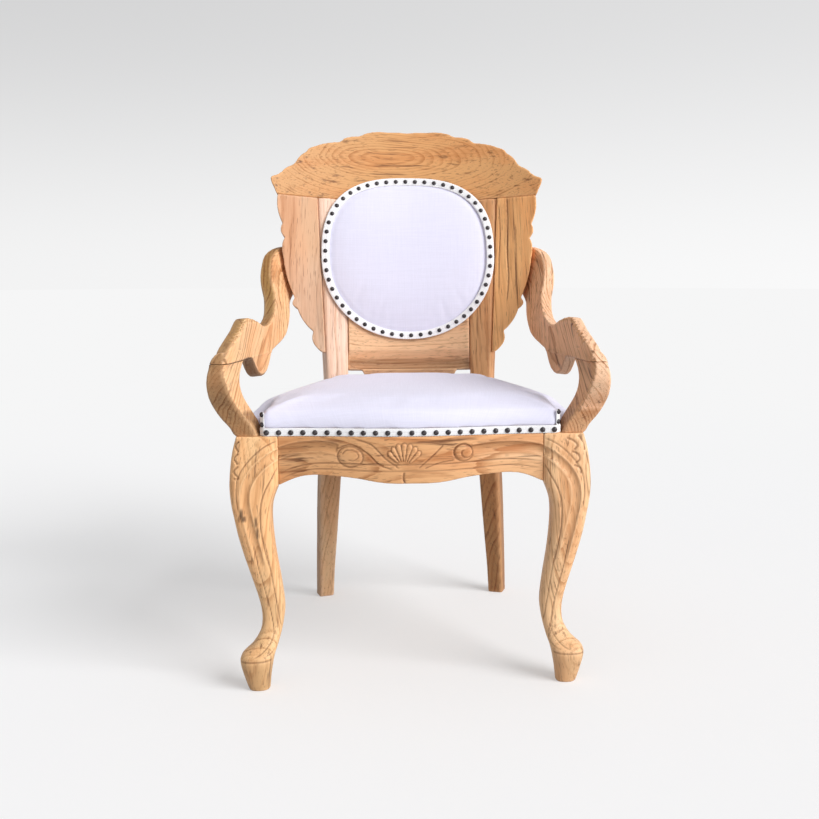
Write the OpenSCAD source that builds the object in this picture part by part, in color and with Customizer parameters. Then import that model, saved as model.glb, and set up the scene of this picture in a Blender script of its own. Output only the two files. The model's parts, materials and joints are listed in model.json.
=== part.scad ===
// Carved wooden dining armchair with an upholstered seat and an oval upholstered back.
// The front faces -Y and the soles stand on z = 0. Lengths are in millimetres.
// Right-hand pieces are drawn at positive x and mirrored for the left hand.

/* [Seat frame] */
// Height of the top of the seat rails above the floor
seat_h = 425; // [415:1:432]
// Width of the seat frame over the outer faces of the front leg blocks
front_w = 578; // [570:2:590]
// Distance from the front of the leg blocks to the front of the rear posts at seat height
seat_d = 480; // [474:1:490]
// Side of the square block at the top of a front leg
block_w = 68; // [66:1:70]
// Thickness of the front rail where it meets the leg blocks
front_rail_t = 30; // [26:1:34]
// How far the front rail bows forward in the middle
front_bow = 20; // [12:1:24]
// Height of the front rail at the top of its two arches
front_rail_h = 65; // [60:1:70]
// Drop of the front rail below its arches in the middle
front_drop = 14; // [8:1:18]
// Thickness of the side rails
side_rail_t = 24; // [20:1:28]
// Height of the side rails and of the rear seat rail
side_rail_h = 66; // [56:1:72]
// Thickness of the rear seat rail
rear_rail_t = 26; // [22:1:32]
// Leg length of the triangular corner blocks
corner_leg = 62; // [50:1:66]
// Height of the corner blocks
corner_h = 34; // [28:1:44]

/* [Back] */
// Lean of the back from the vertical in degrees
rake = 9.8; // [8:0.1:12]
// Height of the back's base line above the seat rails
back_rise = 55; // [53:1:58]
// Radius of the hollow front face of the back, seen from above
back_r = 600; // [560:5:700]
// Thickness of the posts, the crest rail and the lower back rail
back_t = 44; // [38:1:48]
// Thickness of the scalloped side boards
board_t = 28; // [20:1:34]
// Distance between the inner edges of the posts
post_gap = 252; // [244:2:260]
// Width of a post at seat height
post_w = 43; // [38:1:48]
// Length of the posts above the back's base line, up to the crest rail
post_len = 364; // [360:1:368]
// Height of the lower back rail below the oval
lower_rail_rise = 138; // [134:1:142]
// Width of the crest rail over its ears
crest_w = 558; // [552:2:566]
// Height of the crest rail in the middle
crest_h = 146.5; // [142:0.5:152]

/* [Oval] */
// Full width of the oval trim
oval_w = 360; // [340:2:370]
// Full height of the oval trim
oval_h = 342; // [326:2:350]
// Height of the oval's centre above the back's base line
oval_v = 240; // [236:1:244]
// Width of the woven trim round the oval and the seat
trim_w = 16; // [12:1:18]
// Thickness of the woven trim
trim_t = 2; // [1:0.5:3]

/* [Upholstery] */
// Thickness of the plywood seat base
seat_board_t = 12; // [9:1:15]
// Height of the seat cushion above its base at the crown
seat_crown = 50; // [42:1:54]
// Height of the upright side of the seat cushion
seat_side = 28; // [22:1:32]
// How far the back cushion swells out of the oval
back_crown = 30; // [20:1:40]
// Diameter of the domed upholstery nails
nail_d = 10; // [8:0.5:12]
// Number of nails round the oval
oval_nails = 54; // [40:1:60]
// Number of nails along the front of the seat
seat_nails_front = 25; // [20:1:28]

/* [Arms] */
// Height of the joint between an arm and its support above the seat rails
arm_joint_rise = 121; // [118:1:126]
// Thickness of the arms at the neck
arm_t = 25; // [20:1:30]
// Thickness of the arm supports at the foot
support_t = 39; // [34:1:39]

/* [Fixings] */
// Diameter of the joint dowels
dowel_d = 10; // [8:1:12]
// Length of the joint dowels
dowel_len = 44; // [36:2:48]
// Shank diameter of the corner block screws
screw_d = 4; // [3:0.5:5]

/* [Hidden] */
$fn = 64;

// General sizes that follow from the driving ones
half_w = front_w / 2;
block_in = half_w - block_w;
fit_gap = 0.3;
hole_gap = 0.15;
back_z = seat_h + back_rise;
post_side_y = seat_d + 2;
back_y = seat_d + back_rise * 0.4855;
seat_top = seat_h + seat_board_t;
arm_joint_z = seat_h + arm_joint_rise;

// The tables of the legs, posts, arms and crest give the chair at its drawn sizes.
// These shares carry them along when a driving size changes.
wide = front_w / 578;
deep = seat_d / 480;
tall = seat_h / 425;
leg_share = block_w / 68;
post_share = post_w / 43;
arm_rise_share = arm_joint_rise / 121;
// Depth of the plain shapes that cut the back and the rails to their outlines
cut_deep = 240 * wide;
cut_tall = 640 * tall;
support_foot_in = block_in + 31 * leg_share;
pad_half = support_foot_in - 4;

// The origin is the middle of the footprint on the floor
front_reach = -37.8 * leg_share;
back_reach = back_y + (post_len + crest_h - 0.5) * sin(rake) + back_t * cos(rake);
y_mid = (front_reach + back_reach) / 2;

wood_light = [0.80, 0.60, 0.38];
wood_mid = [0.72, 0.50, 0.30];
wood_dark = [0.58, 0.40, 0.24];
cloth = [0.90, 0.88, 0.95];
trim_white = [0.95, 0.94, 0.96];
nail_metal = [0.20, 0.18, 0.17];

// Curves
function catmull(a, b, c, d, t) =
    0.5 * (2 * b + (c - a) * t + (2 * a - 5 * b + 4 * c - d) * t * t + (3 * b - a - 3 * c + d) * t * t * t);
function spline(p, n) = let (m = len(p) - 1) [
    for (i = [0:m - 1]) for (k = [0:n - 1])
        catmull(p[max(i - 1, 0)], p[i], p[i + 1], p[min(i + 2, m)], k / n),
    p[m]
];
// Value of the second and later columns of a table at the place x in its first column
function at_place(table, x, i = 0) =
    i >= len(table) - 2 || x <= table[i + 1][0]
        ? let (a = table[i], b = table[i + 1]) a + (b - a) * (x - a[0]) / (b[0] - a[0])
        : at_place(table, x, i + 1);
// Points of a shallow lobe from p to q that stands out by b to the left of the line
function lobe(p, q, b, n) = let (d = q - p, m = [-d[1], d[0]] / norm(d)) [
    for (k = [0:n - 1]) let (t = k / n) p + d * t + m * 4 * b * t * (1 - t)
];
// Outline through corners given as [x, y, bulge of the side that follows]
function lobed(c, n) = [
    for (i = [0:len(c) - 2]) each lobe([c[i][0], c[i][1]], [c[i + 1][0], c[i + 1][1]], c[i][2], n),
    [c[len(c) - 1][0], c[len(c) - 1][1]]
];
function reversed(p) = [for (i = [len(p) - 1:-1:0]) p[i]];
function mirrored(p) = [for (q = reversed(p)) [-q[0], q[1]]];
// Closed outline from its right half, which starts on the centre line
function both_halves(p) = concat(p, [for (q = mirrored(p)) if (q[0] < -0.001) q]);
function spow(x, e) = sign(x) * pow(abs(x), e);
// Unit rounded square with exponent e, larger for squarer corners
function squircle(n, e) = [
    for (k = [0:n - 1]) let (a = 360 * (k + 0.5) / n) [spow(cos(a), 2 / e), spow(sin(a), 2 / e)]
];

// Solid through a list of rings with the same number of points
module loft(rings) {
    n = len(rings[0]);
    m = len(rings);
    points = [for (r = rings) each r];
    start = [for (j = [1:n - 2]) [0, j, j + 1]];
    finish = [for (j = [1:n - 2]) [(m - 1) * n, (m - 1) * n + j + 1, (m - 1) * n + j]];
    sides = [
        for (i = [0:m - 2]) for (j = [0:n - 1]) let (k = (j + 1) % n, a = i * n, b = a + n)
            each [[a + j, b + k, a + k], [a + j, b + j, b + k]]
    ];
    polyhedron(points = points, faces = concat(start, sides, finish));
}

module hand(side) {
    translate([0, -y_mid, 0]) {
        if (side < 0) {
            mirror([1, 0, 0]) children();
        } else {
            children();
        }
    }
}

module both_hands() {
    hand(1) children();
    hand(-1) children();
}

// Front leg as seen from the front: rows of [height, inner edge outside the block's inner face,
// outer edge outside the block's outer face, depth of the middle]
leg_table = [
    [0, 20.5, -13, -13], [10, 19.5, -9.5, -13], [24, 18, -5, -12.5], [40, 15.5, -0.5, -11.5],
    [53, 13, 1, -9.5], [62, 10.5, -4, -4.5], [72, 7, -17.5, 5.5], [91, 2, -30, 17],
    [110, -1.5, -33, 22.5], [130, -3.5, -31.5, 25], [156, -1.5, -25.5, 24.5], [190, 3, -16, 21.5],
    [224, 8, -6.5, 18.5], [257, 11.5, 1.5, 16.5], [286, 13.5, 6.5, 16.5], [309, 12.5, 10.5, 18],
    [326, 7.5, 12.5, 21.5], [345, 1, 13.5, 26.5], [372, 1, 11.5, 28.5], [400, 1, 7.5, 30.5],
    [425, 1, 1, 33.5]
];
leg_rows = [for (r = leg_table)
    [r[0] * tall, block_in + r[1] * leg_share, half_w + r[2] * leg_share, r[3] * leg_share]
];
// Squareness of the leg's section by height
leg_square = [[0, 2.3], [60, 2.5], [120, 2.7], [250, 3.2], [330, 5], [500, 7]];
leg_block_h = 84 * tall;

module front_leg_shape() {
    color(wood_light) union() {
        translate([block_in, 0, seat_h - leg_block_h]) cube([block_w, block_w, leg_block_h]);
        loft([for (r = spline(leg_rows, 2))
            let (w = r[2] - r[1], x = (r[1] + r[2]) / 2, e = at_place(leg_square, r[0] / tall)[1])
            [for (q = squircle(20, e)) [x + q[0] * w / 2, r[3] + q[1] * w / 2, r[0]]]
        ]);
    }
}

module front_leg(side) {
    hand(side) difference() {
        front_leg_shape();
        color(wood_light) {
            front_rail_dowels(hole_gap);
            side_rail_front_dowels(hole_gap);
            support_foot_dowels(hole_gap);
        }
    }
}

module front_leg_left() { front_leg(-1); }
module front_leg_right() { front_leg(1); }

// Points in the leaning frame of the back: across, up along the lean, and depth from the hollow face
function on_back(radius, across, up) = let (a = asin(across / back_r),
        u = radius * sin(a), w = radius * cos(a) - back_r)
    [u, back_y + up * sin(rake) + w * cos(rake), back_z + up * cos(rake) - w * sin(rake)];

module back_frame() {
    translate([0, back_y, back_z]) rotate([-rake, 0, 0]) children();
}

// Slice of the hollow back between two depths, with the given front outline
module bent_panel(outline, near, far) {
    intersection() {
        translate([0, cut_deep * 0.375, 0]) rotate([90, 0, 0]) linear_extrude(cut_deep) polygon(outline);
        translate([0, -back_r, -cut_tall / 10]) difference() {
            cylinder(r = back_r + far, h = cut_tall, $fn = 256);
            translate([0, 0, -1]) cylinder(r = back_r + near, h = cut_tall + 2, $fn = 256);
        }
    }
}

// Rounded-square oval: squarer at the top than at the bottom
function oval_edge(inset, n) = [
    for (k = [0:n - 1]) let (a = 360 * k / n, e = sin(a) > 0 ? 2.65 : 2.1)
        [(oval_w / 2 - inset) * spow(cos(a), 2 / e), oval_v + (oval_h / 2 - inset) * spow(sin(a), 2 / e)]
];
module oval_prism(inset) {
    translate([0, cut_deep / 2, 0]) rotate([90, 0, 0]) linear_extrude(cut_deep * 1.25)
        polygon(oval_edge(inset, 72));
}
opening_inset = trim_w + 1;

// Rear post and leg: rows of [height, front face, inner edge, outer edge, thickness]
post_in = post_gap / 2;
post_low = [
    [0, 14, 39, 70, -11], [60, 9, 35.5, 68.5, -9], [130, 3, 29, 66, -6],
    [200, -2, 23, 63.5, -3], [254, -5, 18.5, 61, -1], [310, -6.5, 14, 57.5, 0],
    [360, -6, 11, 54, 0], [395, -4, 8, 51, 0], [425, 0, 5, 47.5, 0]
];
function post_row(r) = let (inner = post_in + r[2] * post_share, outer = post_in + r[3] * post_share,
        thick = back_t * (1 + r[4] / 44), c = (inner + outer) / 2, a = asin(c / back_r),
        h = (outer - inner) / 2)
    [for (q = squircle(12, 7)) [
        c + q[0] * h + (q[1] + 1) / 2 * thick * sin(a),
        post_side_y - 2 + r[1] * deep - q[0] * h * tan(a) + (q[1] + 1) / 2 * thick * cos(a),
        r[0] * tall
    ]];
function post_outer(v) = post_in + post_share * (post_w / post_share + 2 + 16 * v / post_len);
function post_high(v) = let (inner = post_in, outer = post_outer(v), c = (inner + outer) / 2,
        h = (outer - inner) / 2)
    [for (q = squircle(12, 7)) on_back(back_r + (q[1] + 1) / 2 * back_t, c + q[0] * h, v)];

module rear_post_shape() {
    color(wood_mid) loft(concat(
        [for (r = spline(post_low, 2)) post_row(r)],
        [for (s = [-0.04, 0.03, 0.16, 0.36, 0.58, 0.8, 1]) post_high(s * post_len)]
    ));
}

// Room that a post takes up in the back, with plain sides for the pieces that are glued to it
room_gap = 3;
function post_side(v, near, far) = [for (q = [[1, far], [-1, far], [-1, near], [1, near]])
    on_back(back_r + q[1], q[0] < 0 ? post_in : post_outer(v), v)];
module post_room() {
    loft([for (v = [-20, post_len + 1]) post_side(v, -room_gap, back_t + room_gap)]);
}

module rear_post(side) {
    hand(side) difference() {
        rear_post_shape();
        color(wood_mid) back_frame() {
            oval_prism(opening_inset);
            crest_dowels(hole_gap);
            lower_rail_dowels(hole_gap);
        }
    }
}

module rear_post_left() { rear_post(-1); }
module rear_post_right() { rear_post(1); }

// Serpentine front of the seat: depth of the rail's face at the place x
function front_face(x) = abs(x) >= block_in ? 2 : 2 - front_bow * pow(cos(90 * x / block_in), 2);
arch_z = seat_h - front_rail_h;
// Underside of its right half: shares of the half width, and drops below the top of the arch
under_table = [
    [0, front_drop], [0.136, front_drop], [0.262, front_drop - 2.5], [0.398, 6], [0.543, 2.3],
    [0.679, 0], [0.778, 0.5], [0.851, 3.5], [0.914, 8.5], [0.955, 12.5], [1, 17]
];
front_under = [for (r = under_table) [r[0] * block_in, arch_z - r[1]]];

module front_rail() {
    under = spline(front_under, 3);
    face = [for (i = [-26:26]) let (x = block_in * i / 26) [x, front_face(x)]];
    hand(1) color(wood_light) difference() {
        intersection() {
            translate([0, cut_deep * 0.375, 0]) rotate([90, 0, 0]) linear_extrude(cut_deep * 0.67)
                polygon(both_halves(concat(under, [[block_in, seat_h]])));
            translate([0, 0, arch_z - cut_deep / 4]) linear_extrude(cut_deep * 0.67)
                polygon(concat(face, [[block_in, front_rail_t + 2], [-block_in, front_rail_t + 2]]));
        }
        front_rail_dowels(hole_gap);
        front_screws(hole_gap);
        mirror([1, 0, 0]) {
            front_rail_dowels(hole_gap);
            front_screws(hole_gap);
        }
    }
}

// Side rail: outer face runs from behind the leg block to the rear post
side_front = [half_w - 2, block_w];
side_rear = [post_in + post_w + 10, seat_d + 8];
side_angle = atan((side_front[0] - side_rear[0]) / (side_rear[1] - side_front[1]));

module along_side() {
    translate([side_front[0], side_front[1], 0]) rotate([0, 0, side_angle]) children();
}

module side_rail_shape() {
    linear_extrude(side_rail_h) polygon([
        side_front, side_rear, side_rear - [side_rail_t + 1, 0], side_front - [side_rail_t + 1, 0]
    ]);
}

module side_rail(side) {
    hand(side) difference() {
        color(wood_mid) translate([0, 0, seat_h - side_rail_h]) side_rail_shape();
        rear_post_shape();
        color(wood_mid) side_rail_front_dowels(hole_gap);
    }
}

module side_rail_left() { side_rail(-1); }
module side_rail_right() { side_rail(1); }

module rear_seat_rail() {
    hand(1) difference() {
        color(wood_mid) translate([-post_in - 20, seat_d + 8, seat_h - side_rail_h])
            cube([post_gap + 40, rear_rail_t, side_rail_h]);
        rear_post_shape();
        mirror([1, 0, 0]) rear_post_shape();
        color(wood_mid) {
            rear_screws(hole_gap);
            mirror([1, 0, 0]) rear_screws(hole_gap);
        }
    }
}

// Corner blocks in the angles of the seat frame, each held by two screws
block_top = seat_h - 8;
block_mid_z = block_top - corner_h / 2;
glue_gap = 0.5;
front_face_y = front_rail_t + 2.5;
front_corner = [side_front[0] - side_rail_t - 1.5, block_w + glue_gap];
block_skew = 10;
module corner_block_front(side) {
    hand(side) difference() {
        color(wood_dark) translate([0, 0, block_top - corner_h]) linear_extrude(corner_h) polygon([
            [block_in - glue_gap, front_face_y], [block_in - glue_gap, front_corner[1]],
            [front_corner[0] - glue_gap, front_corner[1]],
            [front_corner[0] - block_skew - 1, front_corner[1] + corner_leg - 2 * block_skew],
            [block_in - corner_leg + block_skew, front_face_y]
        ]);
        color(wood_dark) front_screws(hole_gap);
    }
}
module corner_block_front_left() { corner_block_front(-1); }
module corner_block_front_right() { corner_block_front(1); }

module corner_block_rear(side) {
    hand(side) difference() {
        color(wood_dark) translate([0, 0, block_top - corner_h]) linear_extrude(corner_h) polygon([
            [post_in - corner_leg, seat_d + 7.5], [post_in + 26, seat_d + 7.5],
            [post_in + 36, seat_d - 14], [post_in + 44, seat_d - 48]
        ]);
        rear_post_shape();
        color(wood_mid) translate([0, 0, seat_h - side_rail_h]) side_rail_shape();
        color(wood_dark) rear_screws(hole_gap);
    }
}
module corner_block_rear_left() { corner_block_rear(-1); }
module corner_block_rear_right() { corner_block_rear(1); }

// Fixings
module peg(d, len) {
    translate([0, 0, -len / 2]) cylinder(d = d, h = len);
}
dowel_rows = [seat_h - 22, seat_h - 46];
module dowel(gap, shorter = 0, thinner = 0) {
    peg(dowel_d - thinner + 2 * gap, dowel_len - shorter + 2 * gap);
}
rail_dowel_y = 18;
side_dowel_drop = 6;
foot_dowel_x = support_foot_in + support_t * 0.46;
module front_rail_dowels(gap) {
    for (z = dowel_rows)
        translate([block_in, rail_dowel_y, z]) rotate([0, 90, 0]) dowel(gap);
}
module side_rail_front_dowels(gap) {
    for (z = dowel_rows)
        along_side() translate([-side_rail_t / 2, 0, z - side_dowel_drop]) rotate([90, 0, 0]) dowel(gap);
}
module support_foot_dowels(gap) {
    translate([foot_dowel_x, block_w * 0.41, seat_h]) dowel(gap, 8);
}
screw_len = 34;
pocket = 30;
// Screw along +Z with its head seated at the origin; with a gap it is the hole and the head's pocket
module screw(gap) {
    cylinder(d = screw_d + 2 * gap, h = screw_len + gap);
    if (gap > 0) {
        translate([0, 0, -pocket]) cylinder(d = screw_d * 2 + 1, h = pocket);
    } else {
        translate([0, 0, -screw_d / 2]) cylinder(d = screw_d * 2, h = screw_d / 2);
    }
}
screw_in = 26;
module front_screws(gap) {
    translate([block_in - screw_in, front_rail_t + 22, block_mid_z]) rotate([90, 0, 0]) screw(gap);
}
module rear_screws(gap) {
    translate([post_in - screw_in + 2, seat_d - 6, block_mid_z]) rotate([-90, 0, 0]) screw(gap);
}
module corner_screws() {
    color(nail_metal) both_hands() {
        front_screws(0);
        rear_screws(0);
    }
}
module seat_frame_dowels() {
    color(wood_light) both_hands() {
        front_rail_dowels(0);
        side_rail_front_dowels(0);
    }
}

// Crest rail: corners of its right half as [across, up above the posts, bulge]
crest_table = [
    [0, 145.5, 0.5], [40, 146.5, 3], [90, 141.5, -1], [104, 135.5, 1.5], [132, 129.5, -1.5],
    [145, 120.5, 2.5], [192, 107.5, 1], [206, 100, -1], [214, 91, 1.5], [228, 75, -1], [238, 63, 2],
    [257, 48, -1.5], [276.5, 36, 1.5], [279, 28, 1], [272, 12, 1], [267, 0, 0]
];
crest_corners = [for (c = crest_table) [c[0] * crest_w / 558, post_len + c[1] * crest_h / 146.5, c[2]]];

module crest_rail() {
    edge = lobed(crest_corners, 5);
    hand(1) color(wood_light) back_frame() difference() {
        bent_panel(both_halves(edge), 0, back_t);
        oval_prism(opening_inset);
        crest_dowels(hole_gap);
    }
}

// Side boards: scalloped outer edge as [across, up, bulge], glued to the post
board_table = [
    [266, 364, 5], [257, 304, 6], [252.5, 275, 1.5], [258, 258, 1], [256, 235, 4], [234, 151, 7.5],
    [229, 130, 3.5], [204, 89, -1], [198, 82, 5], [192, 51, 3]
];
board_low = 39 * post_len / 364;
board_edge = lobed(concat(
    [[post_outer(post_len) - 4, post_len, 0]],
    [for (c = board_table) [c[0] * crest_w / 558, c[1] * post_len / 364, c[2]]],
    [[post_outer(board_low) - 4, board_low, 0]]
), 7);

module side_board(side) {
    hand(side) difference() {
        color(wood_mid) back_frame() bent_panel(board_edge, 0, board_t);
        post_room();
    }
}
module side_board_left() { side_board(-1); }
module side_board_right() { side_board(1); }

// Lower back rail between the posts, with a chamfer and a hollow below the oval
lip = 4;
// How far the rail runs into the room cut round the posts, and where the notches of its lip begin and end
rail_end = 14;
notch_in = 26;
notch_out = 31;
module lower_back_rail() {
    half = post_in + rail_end;
    k = lower_rail_rise / 138;
    hand(1) difference() {
        color(wood_mid) back_frame() difference() {
            bent_panel([
                [-half, 6], [-post_in + notch_in, 6], [-post_in + notch_out, -lip],
                [post_in - notch_out, -lip], [post_in - notch_in, 6], [half, 6],
                [half, lower_rail_rise], [-half, lower_rail_rise]
            ], 0, back_t);
            oval_prism(opening_inset);
            translate([0, -back_r, 0]) rotate_extrude($fn = 256) polygon([
                [back_r - 1, 47 * k], [back_r, 47 * k], [back_r + 9, 28 * k], [back_r + 12, 18 * k],
                [back_r + 9, 7 * k], [back_r - 1, 7 * k]
            ]);
            lower_rail_dowels(hole_gap);
        }
        post_room();
        mirror([1, 0, 0]) post_room();
    }
}

// Dowels of the back: posts into the crest rail, and lower back rail into the posts
crest_dowel_u = post_in + post_w * 0.744;
module crest_dowels(gap) {
    for (s = [-1, 1])
        translate([s * crest_dowel_u, back_t * 0.0227, post_len]) dowel(gap);
}
module lower_rail_dowels(gap) {
    for (s = [-1, 1], v = [lower_rail_rise * 0.217, lower_rail_rise * 0.58])
        translate([s * post_in, back_t * 0.227, v]) rotate([0, 90, 0]) dowel(gap);
}
module back_dowels() {
    hand(1) color(wood_light) back_frame() {
        crest_dowels(0);
        lower_rail_dowels(0);
    }
}

// Section of an arm and of its support: flat faces with slightly rounded edges
arm_section = squircle(12, 8);

// Arm: rows of [inner top edge x, y, z, inner bottom edge x, y, z, thickness]
arm_table = [
    [250, 526, 744, 236, 530, 646, 20], [262, 506, 739, 240, 512, 636, 22],
    [272, 482, 727, 243, 494, 622, 24], [275, 459, 709, 240, 466, 606, 24],
    [275, 439, 688, 238, 432, 590, 25], [270, 420, 667, 238, 402, 578, 26],
    [263, 398, 649, 239, 373, 568, 26], [259, 366, 632, 243, 343, 560, 25],
    [257, 326, 615, 247, 308, 555, 23], [258, 286, 603, 251, 276, 550, 22],
    [261, 250, 596, 254, 246, 545, 22], [264, 220, 596, 255, 226, 530, 23],
    [267, 193, 603, 258, 206, 513, 24], [271, 166, 610, 263, 184, 507, 25],
    [275, 138, 614, 267, 163, 513, 25], [279, 112, 615, 270, 142, 528, 24],
    [281, 88, 608, 272, 122, 541, 23], [283, 64, 599, 275, 96, 546, 22],
    [286, 40, 590, 278, 66, 546, 22], [290, 14, 579, 283, 32, 546, 22],
    [295, -8, 568, 289, 2, 546, 20], [298, -20, 557, 295, -16, 546, 14]
];
function arm_point(p) = [p[0] * wide, p[1] * deep, seat_h + (p[2] - 425) * arm_rise_share];
arm_rows = [for (r = arm_table) concat(
    arm_point([r[0], r[1], r[2]]), arm_point([r[3], r[4], r[5]]), [r[6] * arm_t / 25]
)];
function arm_ring(r) = let (top = [r[0], r[1], r[2]], low = [r[3], r[4], r[5]],
        out = [1, 0.12, -0.12] * r[6], c = (top + low + out) / 2)
    [for (q = arm_section) c + out / 2 * q[0] + (top - low) / 2 * q[1]];

// Shoulder of the arm over the joint: rows of [height above the joint, share of the support's thickness there]
shoulder_table = [[0, 1], [5, 0.95], [10, 0.83], [15, 0.66], [19, 0.42]];
module arm_shape() {
    top = support_rows[len(support_rows) - 1];
    color(wood_mid) {
        loft([for (r = spline(arm_rows, 2)) arm_ring(r)]);
        loft([for (q = shoulder_table) support_ring([
            top[0], top[1] + q[0] * 0.4, top[2] + q[0], top[3], top[4] - q[0], top[5] + q[0], top[6] * q[1]
        ], true)]);
    }
}

board_inner = 100;
board_outer = [for (p = board_edge) if (p[0] > 190) p];
// Height of the block that trims the arm flat over its support
joint_cut = 50;
module arm(side) {
    hand(side) difference() {
        arm_shape();
        back_frame() difference() {
            translate([0, cut_deep * 0.375, 0]) rotate([90, 0, 0]) linear_extrude(cut_deep)
                polygon(concat([[board_inner, board_low], [board_inner, post_len]], reversed(board_outer)));
            translate([0, -back_r, -cut_tall / 10]) cylinder(r = back_r, h = cut_tall, $fn = 256);
        }
        translate([support_foot_in - joint_cut, -joint_cut * 1.6, arm_joint_z - joint_cut])
            cube([joint_cut * 3.2, cut_deep * 0.8, joint_cut]);
        color(wood_mid) arm_joint_dowel(hole_gap);
    }
}
module arm_left() { arm(-1); }
module arm_right() { arm(1); }

// Arm support: rows of [front inner edge x from the foot's, y, height above the rails,
// rear inner edge x from the foot's, y, height above the rails, thickness beyond the foot's]
support_table = [
    [0, 2, 0, 0, 56, 0, 0], [8, 1, 18, 3, 51, 18, 1],
    [18, -1, 31, 9, 46, 31, 2], [26, -5, 43, 15, 41, 43, 2],
    [33, -10, 55, 21, 36, 55, 1], [39, -16, 69, 26, 32, 68, 0],
    [43, -21, 83, 29, 32, 81, -2], [46, -25, 96, 30, 36, 94, -5],
    [48, -26, 109, 29, 46, 108, -9], [48, -24, 121, 27, 66, 121, -13]
];
support_rows = [for (r = support_table) [
    support_foot_in + r[0] * wide, r[1] * deep, seat_h + r[2] * arm_rise_share,
    support_foot_in + r[3] * wide, r[4] * deep, seat_h + r[5] * arm_rise_share, support_t * (1 + r[6] / 39)
]];
function support_ring(r, flat) = let (front = [r[0], r[1], r[2]], rear = [r[3], r[4], r[5]],
        out = [1, 0.1, flat ? 0 : -0.12] * r[6], c = (front + rear + out) / 2)
    [for (q = arm_section) c + out / 2 * q[0] + (rear - front) / 2 * q[1]];

module arm_support(side) {
    rows = spline(support_rows, 2);
    last = len(rows) - 1;
    hand(side) difference() {
        color(wood_light) loft([for (i = [0:last]) support_ring(rows[i], i < 1 || i > last - 1)]);
        color(wood_light) {
            support_foot_dowels(hole_gap);
            arm_joint_dowel(hole_gap);
        }
    }
}
module arm_support_left() { arm_support(-1); }
module arm_support_right() { arm_support(1); }

module arm_joint_dowel(gap) {
    translate([support_foot_in + 50 * wide, 18 * deep, arm_joint_z]) dowel(gap, 16, 2);
}
module arm_dowels() {
    color(wood_light) both_hands() {
        support_foot_dowels(0);
        arm_joint_dowel(0);
    }
}

// Upholstery of the back
module back_panel() {
    hand(1) color(wood_dark) back_frame() intersection() {
        bent_panel([[-200, 40], [200, 40], [200, 440], [-200, 440]], 8, 12);
        oval_prism(opening_inset + fit_gap);
    }
}

cushion_edge_t = 5;
cushion_gap = 0.6;
back_cushion_n = 40;
// Rows of [share of the outline, depth in front of the hollow face]: flat rim under the trim, then the dome
function back_dome(s) = cushion_edge_t + (back_crown - cushion_edge_t) * pow(1 - pow(s / 0.93, 2.2), 0.7);
back_cushion_rows = concat(
    [for (s = [0.02, 0.5, 0.985]) [s, cushion_gap]],
    [[0.985, cushion_edge_t], [0.93, cushion_edge_t]],
    [for (k = [1:7]) let (s = max(0.02, 0.93 * (1 - pow(k / 7, 1.5)))) [s, back_dome(s)]]
);
module back_cushion() {
    hand(1) color(cloth) loft([for (r = back_cushion_rows)
        [for (q = oval_edge(3, back_cushion_n))
            on_back(back_r - r[1], q[0] * r[0], oval_v + (q[1] - oval_v) * r[0])]
    ]);
}

// Depth of the trim's back face in front of the hollow face
trim_back = cushion_edge_t + fit_gap + 0.2;
module back_trim() {
    hand(1) color(trim_white) back_frame() difference() {
        bent_panel(oval_edge(0, 72), -trim_back - trim_t, -trim_back);
        oval_prism(trim_w);
    }
}

// Points at equal steps along a closed outline
function run_length(p, i = 0, s = 0, out = []) =
    i >= len(p)
        ? concat(out, [s])
        : run_length(p, i + 1, s + norm(p[(i + 1) % len(p)] - p[i]), concat(out, [s]));
function place_at(p, run, s, i = 0) =
    s <= run[i + 1] || i >= len(run) - 2
        ? let (t = (s - run[i]) / (run[i + 1] - run[i])) p[i] + (p[(i + 1) % len(p)] - p[i]) * t
        : place_at(p, run, s, i + 1);

module nail() {
    intersection() {
        translate([0, 0, -nail_d * 0.18]) sphere(d = nail_d * 1.06, $fn = 24);
        cylinder(d = nail_d + 2, h = nail_d);
    }
}

nail_lift = 0.15;
module back_nails() {
    path = oval_edge(trim_w / 2, 144);
    run = run_length(path);
    hand(1) color(nail_metal) back_frame() for (k = [0:oval_nails - 1]) {
        p = place_at(path, run, run[len(path)] * k / oval_nails);
        a = asin(p[0] / back_r);
        r = back_r - trim_back - trim_t - nail_lift;
        translate([r * sin(a), r * cos(a) - back_r, p[1]]) rotate([90, 0, -a]) nail();
    }
}

module rear_cover() {
    hand(1) color(cloth) back_frame() intersection() {
        bent_panel([[-220, 30], [220, 30], [220, 460], [-220, 460]], back_t, back_t + 5);
        oval_prism(3);
    }
}

module rear_trim() {
    hand(1) color(trim_white) back_frame() difference() {
        bent_panel(oval_edge(0, 72), back_t + 5, back_t + 5 + trim_t);
        oval_prism(trim_w);
    }
}

// Upholstery of the seat: right half of the outline, from the front middle round to the rear middle
function pad_front(x, inset) = front_face(x) + 2 + inset;
function side_x(y) = side_front[0] - (y - side_front[1]) * tan(side_angle);
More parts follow.
